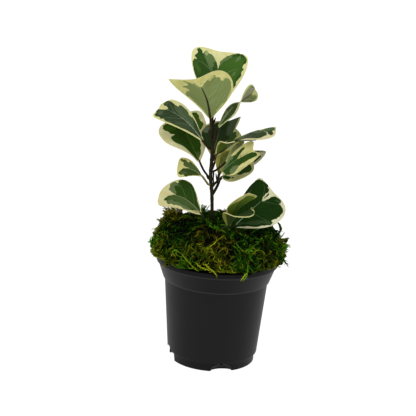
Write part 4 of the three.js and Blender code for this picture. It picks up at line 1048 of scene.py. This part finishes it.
def depthInside(points, outline):
    # how far inside a closed outline each point lies; negative outside it
    tiny = 1e-9
    depth = np.full(len(points), np.inf)
    inside = np.zeros(len(points), bool)
    for a, b in zip(outline, np.roll(outline, -1, axis=0)):
        edge = b - a
        share = np.clip(((points - a) @ edge) / max(edge @ edge, tiny), 0, 1)
        gap = points - (a + share[:, None] * edge)
        depth = np.minimum(depth, np.hypot(gap[:, 0], gap[:, 1]))
        crosses = (a[1] > points[:, 1]) != (b[1] > points[:, 1])
        rise = edge[1] if abs(edge[1]) > tiny else tiny
        reach = a[0] + (points[:, 1] - a[1]) * edge[0] / rise
        inside ^= crosses & (points[:, 0] < reach)
    return np.where(inside, depth, -depth)


def markDepth(leaf, zone, flat):
    # how far inside any of the leaf's outlines of one zone each place lies, in mm
    farOutside = -9.0
    depth = np.full(len(flat), farOutside)
    for outline in leaf[zone]:
        across, s = np.array(outline).T / 100
        depth = np.maximum(depth, depthInside(flat, flatPlace(leaf, s, across)))
    return depth


def skinUp(leaf, s, across):
    # the way the upper skin looks at each place
    middle = bladePoints(leaf, s, across)
    beside = bladePoints(leaf, s, across + blade["probe"])
    onward = bladePoints(leaf, s + blade["probe"], across)
    up = np.cross(beside - middle, onward - middle)
    return up / np.linalg.norm(up, axis=1)[:, None]


def layVeins(leaf, routes, side, colour, name):
    # fine cords half sunk in the skin along the routes; side is 1 above and -1 below
    cords = []
    for route in routes:
        across, s = smoothPath(np.array(route) / 100, steps=4).T
        radii = np.linspace(blade["veinFrom"], blade["veinTo"], len(s))
        depth = blade["thickness"] / 2 - radii * 0.5
        places = bladePoints(leaf, s, across) + skinUp(leaf, s, across) * depth[:, None] * side
        cords.append(rodAlong([[*p, r] for p, r in zip(places, radii)], steps=2, sides=6))
    whole = joinInto(cords[0], cords[1:], name)
    whole.data.materials.append(veinMaterial(name + "_vein", colour))
    return whole


def leafSheet(name, leaf, look):
    # the blade: a grid bent to the leaf's form, with its marks, made thick
    deselectAll()
    bpy.ops.mesh.primitive_grid_add(x_subdivisions=blade["columns"], y_subdivisions=blade["rows"],
                                    size=2)
    sheet = bpy.context.object
    sheet.name = name + "_blade"
    x, y, _ = readPoints(sheet).T
    s = 1 - (1 - np.clip((y + 1) / 2, 0, 1)) ** blade["rowDraw"]
    across = np.sign(x) * np.abs(x) ** blade["columnDraw"]
    across = across * np.where(across > 0, marginShare(s, leaf, 1), marginShare(s, leaf, 0))
    writePoints(sheet, bladePoints(leaf, s, across) * mm)
    flat = flatPlace(leaf, s, across)
    for zone in ("green", "mid", "grey", "pale"):
        field = sheet.data.attributes.new(zone, "FLOAT", "POINT")
        field.data.foreach_set("value", markDepth(leaf, zone, flat))
    for layer in list(sheet.data.uv_layers):
        sheet.data.uv_layers.remove(layer)
    layer = sheet.data.uv_layers.new(name="leafMap")
    corners = np.empty(len(sheet.data.loops), int)
    sheet.data.loops.foreach_get("vertex_index", corners)
    layer.data.foreach_set("uv", (flat[corners] * mm).ravel())

    upper = {**look, "veinClimb": blade["veinClimb"],
             "ribLength": leafLength(leaf) * blade["ribFades"]}
    under = dict(upper, rough=look["rough"] + blade["underRougher"])
    for key in ("Cream", "CreamDeep", "Dark", "DarkDeep", "Mid", "Grey", "Pale", "Rib"):
        under[key[0].lower() + key[1:]] = look["under" + key]
    sheet.data.materials.append(leafMaterial(name + "_waxy_upper_skin", upper))
    sheet.data.materials.append(leafMaterial(name + "_matt_under_skin", under))
    thick = sheet.modifiers.new("thickness", "SOLIDIFY")
    thick.thickness = blade["thickness"] * mm
    thick.offset = 0
    thick.material_offset = 1
    applyAll(sheet)
    return sheet


def leafStalk(name, leaf, look):
    # the petiole, from the stem to the blade, and on as the midrib below it
    ribFrom, ribTo, ribEnd = leaf["ribThick"]
    count = blade["ribPoints"]
    s, across = np.linspace(blade["ribFrom"], ribEnd, count), np.zeros(count)
    radii = np.linspace(ribFrom, ribTo, count)
    off = blade["thickness"] / 2 + radii * blade["ribProud"]
    rib = bladePoints(leaf, s, across) - skinUp(leaf, s, across) * off[:, None]
    start = stemPlaceNear(leaf["petiole"][0]) - [0, 0, blade["petioleSunk"]]
    route = [[*p, blade["petioleRadius"]] for p in (start, *leaf["petiole"], leaf["base"])]
    route += [[*p, r] for p, r in zip(rib, radii)]
    stalk = rodAlong(route, steps=5, sides=10)
    stalk.data.materials.append(barkMaterial(name + "_petiole_skin", look["stalk"],
                                             look["stalkDeep"], 300.0))
    return stalk


def buildLeaf(name, values):
    leaf = {**leafDefaults, **values}
    look = {**leafLook, **leaf["look"]}
    sheet = leafSheet(name, leaf, look)
    parts = [leafStalk(name, leaf, look)]
    if leaf["veins"]:
        parts.append(layVeins(leaf, leaf["veins"], 1, look["vein"], name + "_upper"))
    if leaf["underVeins"]:
        parts.append(layVeins(leaf, leaf["underVeins"], -1, look["underVein"], name + "_under"))
    whole = joinInto(sheet, parts, "figLeaf_" + name[5:])
    bpy.ops.object.shade_smooth_by_angle(angle=math.radians(blade["smoothBelow"]))
    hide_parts(name)
    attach(whole, "root")


for leafName, leafValues in leaves.items():
    buildLeaf(leafName, leafValues)
print("leaves done")


# Moss: a near-black core, painted as the shade in the gaps, fine strands lying close over it, and
# barbed strands in clumps above them.
# A patch is [x, y, z, reach] in mm, its kind of moss, and how much lighter it is.
moss = {
    "seed": 41,
    "clumps": 190,
    "clumpTones": 0.1,
    "steps": 9,
    "barbs": 9,
    # the height below which no strand goes, with a slow wave along X, per metre
    "lowest": 96.6,
    "wave": 0.6,
    "wavesPerMetre": 160,
    # two layers of strands: how many, how long, how thick, how high they arch, how light on
    # average and by how much that varies, and how far they are drawn to the clump's middle
    # the close layer is set darker than the proud one, a painted shade for the strands lying low
    # under the others
    "close": {"count": 4200, "length": (6, 14), "radius": (0.22, 0.4), "rise": (-0.2, 1.6),
              "tone": -0.26, "spread": 0.14, "gather": 0.06},
    "proud": {"count": 2900, "length": (6, 14), "radius": (0.24, 0.5), "rise": (0.5, 3.2),
              "tone": -0.06, "spread": 0.22, "gather": 0.16},
    # the share of strands that follow their clump, their own way beside it, and the share
    # that are of any kind
    "following": 0.8,
    "ownWay": 0.45,
    "mixed": 0.2,
    # radians a step that a strand turns and drifts
    "turn": 0.2,
    "drift": 0.12,
    # how deep a strand is rooted, how clear of the mound it runs, how closely it follows it
    "rooted": 0.7,
    "clear": 0.25,
    "hug": 0.7,
    # barbs: where along the strand the first is and over how much of it they spread, radians
    # from one to the next, their reach and the radius of their root in strand radii, half the
    # root's angle, half its height and the tip's lead as shares of the strand's length
    "barb": {"from": 0.15, "span": 0.78, "turn": 2.4, "reach": 4.2, "rootRadius": 0.8,
             "rootAngle": 0.8, "halfHeight": 0.03, "onward": 0.1},
    # the core: how much smaller, how far it may reach out between the heights of its edge and
    # elsewhere, and the height to which what reached further is raised
    "shrink": 1.2,
    "edgeRoom": 58.5,
    "room": 51,
    "edgeFrom": 96,
    "edgeTo": 122,
    "coreLowest": 93,
    "sprigRadius": (0.28, 0.6),
    "lighter": 0.19,
    "kinds": {
        "olive": ("sheet_moss_olive_dried", "#98a01c", "#3e4a06", "#0e1302"),
        "green": ("sheet_moss_green_dried", "#62981a", "#224a06", "#071202"),
        "brown": ("sheet_moss_brown_dried", "#84801c", "#3a3a08", "#0e0e02"),
    },
    "patches": [
        ([-24, -45, 112, 13], "olive", 0.2), ([-6, -53, 107, 14], "olive", 0.02),
        ([-27, -49, 103, 10], "green", 0.16), ([3, -55, 101, 14], "olive", 0.0),
        ([19, -51, 106, 14], "green", 0.06), ([10, -48, 115, 10], "brown", -0.06),
        ([27, -34, 121, 16], "green", 0.0), ([35, -19, 122, 14], "green", -0.18),
        ([44, -24, 115, 12], "green", -0.02), ([40, -35, 109, 10], "olive", -0.08),
        ([-16, -39, 120, 11], "brown", -0.14), ([-34, -20, 122, 16], "green", -0.2),
        ([-42, -27, 115, 10], "green", -0.04), ([-46, -25, 118, 10], "olive", 0.1),
        ([-50, -26, 104, 10], "olive", 0.24), ([-58, -6, 107, 8], "green", 0.5),
        ([-46, 9, 129, 11], "brown", 0.14), ([-39, 10, 126, 12], "olive", -0.08),
        ([-17, -15, 126, 14], "green", -0.3), ([5, -24, 126, 12], "green", 0.06),
        ([-22, 18, 126, 14], "green", -0.04), ([4, 18, 128, 14], "green", -0.08),
        ([57, -3, 109, 10], "olive", 0.06),
    ],
    # sprigs that stand out at the edge: root, the way they point, how many, how long
    "sprigs": [
        ([-41, 8, 129], (-0.8, -0.1, 0.3), 30, 10, "brown", 0.3),
        ([-45, 6, 127], (-0.8, -0.1, 0), 20, 8, "brown", 0.26),
        ([-36, 10, 130], (0, 0, 1), 14, 6, "brown", 0.24),
        ([-44, 8, 124], (-0.9, -0.1, -0.1), 12, 9, "olive", 0.0),
        ([-34, 12, 127], (-0.5, 0, 0.8), 9, 7, "brown", 0.1),
        ([-52, -4, 115], (-1, 0, 0.05), 8, 8, "olive", 0.12),
        ([-53, -6, 108], (-1, -0.1, 0), 12, 7, "green", 0.45),
        ([-52, -14, 103], (-0.9, -0.4, -0.1), 9, 7, "brown", 0.15),
        ([-22, 16, 129], (-0.2, 0, 1), 14, 9, "green", 0.1),
        ([-15, 12, 130], (-0.1, 0, 1), 14, 9, "green", 0.1),
        ([6, 16, 129], (0.2, 0, 1), 7, 6, "olive", 0.0),
        ([51, -4, 112], (1, 0, 0.25), 16, 11, "olive", 0.05),
        ([53, -8, 108], (1, -0.1, 0), 20, 11, "green", 0.1),
        ([50, -14, 103], (0.9, -0.4, -0.2), 9, 8, "green", 0.1),
        ([46, -4, 118], (0.6, 0, 0.7), 8, 6, "green", -0.05),
        ([-41, -34, 98], (-0.6, -0.6, -0.6), 9, 7, "brown", 0.2),
        ([-2, -52, 100], (0.1, -0.6, -0.9), 8, 6, "olive", 0.2),
        ([23, -50, 102], (0, -0.6, -0.9), 8, 7, "green", 0.2),
        # round the bases of the low leaves
        ([-12, -9, 122], (-0.1, -0.3, 1), 14, 10, "green", 0.05),
        ([-8, -12, 122], (0.1, -0.3, 1), 12, 8, "green", 0.0),
        ([4, -25, 121], (-0.2, -0.4, 1), 14, 8, "green", 0.0),
        ([9, -28, 119], (0.1, -0.4, 1), 14, 8, "green", -0.02),
        ([-2, -18, 123], (0, -0.3, 1), 12, 7, "green", 0.05),
    ],
    # stray strands, each a route in mm with its kind, how much lighter it is and its radius;
    # the first is bare, the others carry barbs
    "strays": [
        ([[46, -12, 116], [49.5, -12, 119.6], [52, -12, 122.4], [53.4, -12, 126],
          [52, -12, 129.8], [48.5, -12, 133.5]], "green", -0.3, 1.6),
        ([[50, -4, 112], [55, -4, 111], [57, -4, 114], [59.5, -4, 115.4], [62.5, -4, 116]],
         "olive", 0.0, 0.7),
        ([[53, -6, 109], [58, -6, 111.2], [61.5, -6, 110], [59.5, -6, 106.6], [62, -6, 104.8]],
         "green", 0.15, 0.4),
        ([[52, -10, 107], [56, -10, 104.4], [60, -10, 101.8]], "olive", 0.1, 0.35),
        ([[50, -18, 109], [54.5, -18, 104], [56, -18, 101.3], [59.6, -18, 98], [62.4, -18, 93.4]],
         "green", -0.1, 1.1),
        ([[52, -20, 107], [55, -20, 102.3], [56, -20, 98.2]], "green", -0.2, 0.4),
        ([[49, -24, 102], [51, -24, 98.3], [53, -24, 95.4], [56, -24, 95.2]],
         "green", -0.25, 0.5),
        ([[26, -54, 105], [26, -55, 101], [26, -56, 98], [25, -56.5, 94.5], [22, -56.6, 91]],
         "green", 0.22, 0.6),
        ([[26, -55, 99], [23.5, -56.5, 96], [20.5, -57, 91.5]], "olive", 0.4, 0.5),
        ([[-34, -40, 103], [-39, -39, 98.6], [-43, -38, 96], [-47, -36, 92]], "brown", 0.3, 0.5),
        ([[-42, -38, 101], [-36, -44, 99.4], [-30, -47, 100]], "olive", 0.3, 0.5),
        ([[-30, -48.5, 109], [-27, -50.5, 106], [-21, -53.4, 101], [-15, -55.4, 97]],
         "olive", 0.3, 0.42),
        ([[-12, -47, 114], [-8, -48.5, 116.6], [-4, -47.5, 119.5], [-1.6, -46, 122.3],
          [-1.6, -45, 125.8]], "olive", 0.4, 0.4),
        ([[-2, -45, 121.5], [1, -44, 123.8], [5, -42, 126.4]], "olive", 0.25, 0.35),
        ([[-22, -49, 110.4], [-17, -49, 113.6], [-11, -49, 116.8]], "olive", 0.25, 0.35),
        ([[-18, -53.6, 104], [-14, -55.4, 101], [-9, -56.4, 99.8], [-5, -57, 99]],
         "olive", 0.4, 0.5),
        ([[-10, -55, 104], [-7, -56.6, 101], [-3, -57.4, 98.8], [1, -57.4, 94.6]],
         "olive", 0.45, 0.55),
        ([[-38, -4, 126], [-43, -4, 125], [-49, -4, 125]], "brown", 0.1, 0.3),
        ([[-50, -4, 115], [-55, -4, 116.6], [-60.4, -4, 116]], "olive", 0.1, 0.35),
        ([[-53, -6, 112], [-58, -6, 109.7], [-60.5, -6, 106.8], [-59, -6, 103],
          [-60, -6, 100]], "green", 0.5, 0.5),
        ([[-17, 6, 129], [-18, 6, 133.4], [-15, 6, 135.5], [-13, 6, 137.6], [-10.5, 6, 135]],
         "brown", 0.2, 0.22),
        ([[-6, 8, 129], [-3, 8, 132.6], [0, 8, 132], [-1, 8, 135.6]], "brown", 0.1, 0.22),
        ([[12, -46, 118], [16, -44, 121.5], [22, -40, 122], [25, -41, 119]], "green", -0.02, 0.4),
        ([[22, -44, 116], [29, -42, 118], [35, -36, 120]], "green", 0.05, 0.4),
        ([[-36, -42, 106], [-39, -41, 108.5], [-36, -42, 110.5], [-32, -45, 109]],
         "green", 0.6, 0.5),
    ],
}


def buildMossCore():
    # the mound itself, a little smaller, under its strands
    selectOnly(nodes["moss"])
    bpy.ops.object.duplicate()
    core = bpy.context.object
    core.name = "mossCore"
    core.parent = None
    for key in list(core.keys()):
        del core[key]
    editAll()
    mergeAndFaceOut()
    # the strays are made again below, so those of the solid are drawn in
    for v in core.data.vertices:
        reach = math.hypot(v.co.x, v.co.y) / mm
        atEdge = moss["edgeFrom"] <= v.co.z / mm <= moss["edgeTo"]
        room = moss["edgeRoom"] if atEdge else moss["room"]
        if reach > room:
            v.co.x *= room / reach
            v.co.y *= room / reach
            v.co.z = max(v.co.z, moss["coreLowest"] * mm)
    editAll()
    bpy.ops.transform.shrink_fatten(value=-moss["shrink"] * mm)
    bpy.ops.object.mode_set(mode="OBJECT")
    return core


def strandForm(barbs):
    # one straight strand of unit length and unit radius, with barbs that point outward and on
    sides, rings = 3, 5
    taperFrom, tipRadius = 0.7, 0.2
    points, faces = [], []
    for i in range(rings + 1):
        share = i / rings
        taper = max(share - taperFrom, 0) / (1 - taperFrom)
        radius = 1 - taper * (1 - tipRadius)
        for k in range(sides):
            turn = 2 * math.pi * (k / sides)
            points.append((radius * math.cos(turn), radius * math.sin(turn), share))
    for i in range(rings):
        for k in range(sides):
            a, b = i * sides + k, i * sides + (k + 1) % sides
            faces.append((a, b, b + sides, a + sides))
    faces.append(tuple(rings * sides + k for k in range(sides)))
    barb = moss["barb"]
    for k in range(barbs):
        share = barb["from"] + barb["span"] * k / barbs
        turn = k * barb["turn"]
        start = len(points)
        # barbs are half as long at the tip as at the root
        out = barb["reach"] * (1 - 0.5 * share)
        for lean, height in ((-1, -1), (1, -1), (0, 1)):
            angle, radius = turn + lean * barb["rootAngle"], barb["rootRadius"]
            points.append((radius * math.cos(angle), radius * math.sin(angle),
                           share + height * barb["halfHeight"]))
        points.append((out * math.cos(turn), out * math.sin(turn), share + barb["onward"]))
        faces += [(start, start + 1, start + 3), (start + 1, start + 2, start + 3),
                  (start + 2, start, start + 3)]
    return np.array(points), faces


def pickRoots(core, count, rng):
    # places spread evenly over the part of the mound that shows, with the way each faces
    co = readPoints(core)
    core.data.calc_loop_triangles()
    corners = np.array([t.vertices for t in core.data.loop_triangles])
    a, b, c = co[corners[:, 0]], co[corners[:, 1]], co[corners[:, 2]]
    cross = np.cross(b - a, c - a)
    size = np.linalg.norm(cross, axis=1)
    middle = (a + b + c) / 3
    weight = size * (middle[:, 2] > moss["lowest"] * mm)
    pick = rng.choice(len(size), size=count, p=weight / weight.sum())
    u, v = rng.random(count), rng.random(count)
    flip = u + v > 1
    u, v = np.where(flip, 1 - u, u), np.where(flip, 1 - v, v)
    roots = a[pick] + (b - a)[pick] * u[:, None] + (c - a)[pick] * v[:, None]
    return roots, cross[pick] / size[pick][:, None]


def kindAndTone(place):
    # the kind of moss at a place, and how light it is, from the patches nearest to it; the
    # best weight starts at a floor below which a patch is too far away to set the kind
    best, kind, tone = 0.12, "olive", 0.0
    for (x, y, z, reach), patchKind, lighter in moss["patches"]:
        gap = math.dist(place, (x * mm, y * mm, z * mm)) / (reach * mm)
        weight = math.exp(-gap * gap)
        tone += lighter * weight
        if weight > best:
            best, kind = weight, patchKind
    return kind, tone


def headingsOver(roots, normals, rng):
    # ways to lie along the mound: mostly outward and down where it is steep
    pull, fall, steepFall = 0.4, 0.1, 0.7
    heading = rng.normal(size=roots.shape)
    outward = roots * [1, 1, 0]
    outward /= np.maximum(np.linalg.norm(outward, axis=1), mergeWithin)[:, None]
    slope = 1 - np.abs(normals[:, 2])
    heading += outward * pull - np.array([0, 0, 1.0]) * (fall + slope * steepFall)[:, None]
    heading -= normals * np.sum(heading * normals, axis=1)[:, None]
    return heading / np.linalg.norm(heading, axis=1)[:, None]


def strandsOver(core, clumps, layer, rng):
    # strands that follow the mound, gathered into clumps; each with its kind and tone
    tree = BVHTree.FromObject(core, bpy.context.evaluated_depsgraph_get())
    places, ways, kinds, tones = clumps
    roots, normals = pickRoots(core, layer["count"], rng)
    own = headingsOver(roots, normals, rng)
    steps = moss["steps"]
    paths, pathKinds, pathTones = [], [], []
    for root, normal, way in zip(roots, normals, own):
        near = int(np.argmin(np.linalg.norm(places - root, axis=1)))
        if rng.random() < moss["following"]:
            way = ways[near] + way * moss["ownWay"]
        place = Vector(root + (places[near] - root) * layer["gather"]
                       - normal * moss["rooted"] * mm)
        normal, way = Vector(normal), Vector(way).normalized()
        stride = rng.uniform(*layer["length"]) * mm / (steps - 1)
        rise = rng.uniform(*layer["rise"]) * mm
        turn = rng.normal(0, moss["turn"])
        drift = rng.normal(0, moss["drift"])
        wave = 1 - math.cos(root[0] * moss["wavesPerMetre"])
        low = moss["lowest"] * mm + wave * moss["wave"] * mm
        path = []
        for k in range(steps):
            path.append(place.copy())
            way = Matrix.Rotation(turn, 3, normal) @ way
            turn += drift * 0.5
            place = place + way * stride
            hit, facing, _, _ = tree.find_nearest(place)
            # under an overhang a strand lies against the side, not the underside
            if facing.z < -0.3:
                facing = Vector((hit.x, hit.y, 0)).normalized()
            # the arch is three quarters of a half wave, so the tip stays up
            arch = math.sin(math.pi * 0.75 * (k + 1) / (steps - 1)) * rise
            place = place.lerp(hit + facing * (moss["clear"] * mm + arch), moss["hug"])
            place.z = max(place.z, low)
            normal = facing
            way = (way - normal * way.dot(normal)).normalized()
        paths.append(path)
        mixed = rng.random() < moss["mixed"]
        pathKinds.append(rng.choice(["olive", "green", "brown"]) if mixed else kinds[near])
        pathTones.append(tones[near] + layer["tone"] + rng.normal(0, layer["spread"]))
    return np.array(paths), pathKinds, np.array(pathTones)


def sprigStrands(rng):
    # curled strands that fan out of each sprig's root, within a millimetre or so of it
    fan, rootSpread, toneSpread = 0.45, 1.3, 0.12
    lengths, curls = (0.5, 1.05), (0.02, 0.2)
    paths, kinds, tones = [], [], []
    for root, way, count, length, kind, tone in moss["sprigs"]:
        for _ in range(count):
            heading = Vector(way).normalized() + Vector(rng.normal(0, fan, 3))
            heading.normalize()
            axis = Vector(rng.normal(size=3)).normalized()
            place = (Vector(root) + Vector(rng.normal(0, rootSpread, 3))) * mm
            stride = length * rng.uniform(*lengths) * mm / (moss["steps"] - 1)
            curl = rng.uniform(*curls)
            path = []
            for _ in range(moss["steps"]):
                path.append(place.copy())
                heading = Matrix.Rotation(curl, 3, axis) @ heading
                place = place + heading * stride
            paths.append(path)
            kinds.append(kind)
            tones.append(tone + rng.normal(0, toneSpread))
    return np.array(paths), kinds, np.array(tones)


def strandMesh(name, paths, radii, tones, form, faces, rng):
    # the strand form bent along each path, all in one mesh
    count, steps, _ = paths.shape
    tangent = np.gradient(paths, axis=1)
    tangent /= np.maximum(np.linalg.norm(tangent, axis=2), 1e-9)[..., None]
    helper = np.zeros_like(tangent)
    helper[..., 2] = 1
    # where a strand runs nearly straight up, its sides are found from X instead of Z
    upright = np.abs(tangent[..., 2]) > 0.92
    helper[upright] = (1, 0, 0)
    first = np.cross(tangent, helper)
    first /= np.linalg.norm(first, axis=2)[..., None]
    second = np.cross(tangent, first)
    at = form[:, 2].clip(0, 1) * (steps - 1)
    low = np.minimum(at.astype(int), steps - 2)
    mix = (at - low)[None, :, None]

    def along(field):
        return field[:, low] * (1 - mix) + field[:, low + 1] * mix

    spin = rng.uniform(0, 2 * math.pi, count)[:, None]
    x = form[None, :, 0] * np.cos(spin) - form[None, :, 1] * np.sin(spin)
    y = form[None, :, 0] * np.sin(spin) + form[None, :, 1] * np.cos(spin)
    points = along(paths) + radii[:, None, None] * (
        x[..., None] * along(first) + y[..., None] * along(second))
    size = len(form)
    allFaces = [tuple(i + n * size for i in face) for n in range(count) for face in faces]
    mesh = bpy.data.meshes.new(name)
    mesh.from_pydata(points.reshape(-1, 3).tolist(), [], allFaces)
    tone = mesh.attributes.new("tone", "FLOAT", "POINT")
    # painted shade: strands are darker towards their roots and lighter towards their tips
    paintedTipLight = 0.3 * form[None, :, 2].clip(0, 1)
    tone.data.foreach_set("value", (tones[:, None] + paintedTipLight).ravel())
    piece = bpy.data.objects.new(name, mesh)
    bpy.context.scene.collection.objects.link(piece)
    return piece


def strayStrands():
    # the routes of the strays, with as many points as other strands have
    routes, kinds, tones, radii = zip(*moss["strays"])
    paths = []
    for route in routes:
        path = smoothPath(route, steps=8)
        at = np.linspace(0, len(path) - 1, moss["steps"]).round().astype(int)
        paths.append(path[at] * mm)
    return np.array(paths), np.array(kinds), np.array(tones), np.array(radii)


def buildMoss():
    rng = np.random.default_rng(moss["seed"])
    core = buildMossCore()
    places, normals = pickRoots(core, moss["clumps"], rng)
    ways = headingsOver(places, normals, rng)
    clumpKinds, clumpTones = zip(*(kindAndTone(place) for place in places))
    clumpTones = np.array(clumpTones) + rng.normal(0, moss["clumpTones"], len(places))
    clumps = places, ways, clumpKinds, clumpTones
    strays = strayStrands()
    # each group has its barbs, paths, kinds and tones, and either a range of radii or a list
    barbs = moss["barbs"]
    groups = [
        (0, *strandsOver(core, clumps, moss["close"], rng), moss["close"]["radius"]),
        (barbs, *strandsOver(core, clumps, moss["proud"], rng), moss["proud"]["radius"]),
        (barbs, *sprigStrands(rng), moss["sprigRadius"]),
        (barbs, *(values[1:] for values in strays)),
        (0, *(values[:1] for values in strays)),
    ]
    for kind, (materialName, light, mid, dark) in moss["kinds"].items():
        pieces = []
        for barbs, paths, kinds, tones, radius in groups:
            chosen = np.array([k == kind for k in kinds])
            count = int(chosen.sum())
            if not count:
                continue
            listed = isinstance(radius, np.ndarray)
            radii = radius[chosen] if listed else rng.uniform(*radius, count)
            form, faces = strandForm(barbs)
            pieces.append(strandMesh("mossPiece", paths[chosen], radii * mm,
                                     tones[chosen] + moss["lighter"], form, faces, rng))
        strands = joinInto(pieces[0], pieces[1:], "moss" + kind.capitalize())
        strands.data.materials.append(mossMaterial(materialName, light, mid, dark))
        if kind == "olive":
            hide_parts("moss")
        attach(strands, "root")
    # the core is painted near black, a painted shade for the deep gaps between the strands
    core.data.materials.clear()
    core.data.materials.append(
        mossMaterial("sheet_moss_core_painted_shade", "#10120a", "#0a0c05", "#050603"))
    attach(core, "root")


buildMoss()
print("moss done")


# Floor, light and camera, in metres, watts and radians.
studio = {
    "floorSize": 12,
    "floorGlow": 0.96,
    "skyStrength": 0.72,
    "lightsAimAt": (0, 0, 0.15),
    # place, size and power
    "keyLight": ((-0.7, -1.2, 1.6), 0.9, 9),
    "fillLight": ((1.3, -0.6, 0.9), 1.0, 2.5),
    # the photograph's view: a long lens from in front and above, rolled a little
    "lens": 112.98,
    "sensor": 36,
    "cameraAt": (0, -1.1, 0.446),
    "cameraAimsAt": (-0.011, 0, 0.1375),
    "roll": 0.060,
}


def lookFrom(place, target):
    return (Vector(target) - Vector(place)).to_track_quat("-Z", "Y")


def buildStudio():
    deselectAll()
    bpy.ops.mesh.primitive_plane_add(size=studio["floorSize"])
    floor = bpy.context.object
    floor.name = "studioFloor"
    # White paper: matt, with a glow of its own that makes it as white as the background.
    floor.data.materials.append(newMaterial("white_studio_paper", {
        "Base Color": (0.2, 0.2, 0.2, 1), "Roughness": 1.0, "Specular IOR Level": 0.0,
        "Emission Color": (1, 1, 1, 1), "Emission Strength": studio["floorGlow"]})[0])

    world = bpy.data.worlds.new("studioWhite")
    world.use_nodes = True
    setInputs(world.node_tree, world.node_tree.nodes["Background"],
              values={"Color": (1, 1, 1, 1), "Strength": studio["skyStrength"]})
    bpy.context.scene.world = world
    bpy.context.scene.view_settings.view_transform = "Standard"

    for name in ("keyLight", "fillLight"):
        place, size, power = studio[name]
        light = bpy.data.lights.new(name, "AREA")
        light.shape = "DISK"
        light.size = size
        light.energy = power
        lamp = bpy.data.objects.new(name, light)
        lamp.location = place
        lamp.rotation_euler = lookFrom(place, studio["lightsAimAt"]).to_euler()
        bpy.context.scene.collection.objects.link(lamp)


def addCamera():
    camera = bpy.data.cameras.new("photoCamera")
    camera.lens = studio["lens"]
    camera.sensor_width = studio["sensor"]
    eye = bpy.data.objects.new("photoCamera", camera)
    place = studio["cameraAt"]
    eye.matrix_world = (Matrix.Translation(place)
                        @ lookFrom(place, studio["cameraAimsAt"]).to_matrix().to_4x4()
                        @ Matrix.Rotation(studio["roll"], 4, "Z"))
    bpy.context.scene.collection.objects.link(eye)
    bpy.context.scene.camera = eye


buildStudio()
addCamera()
print("studio done")
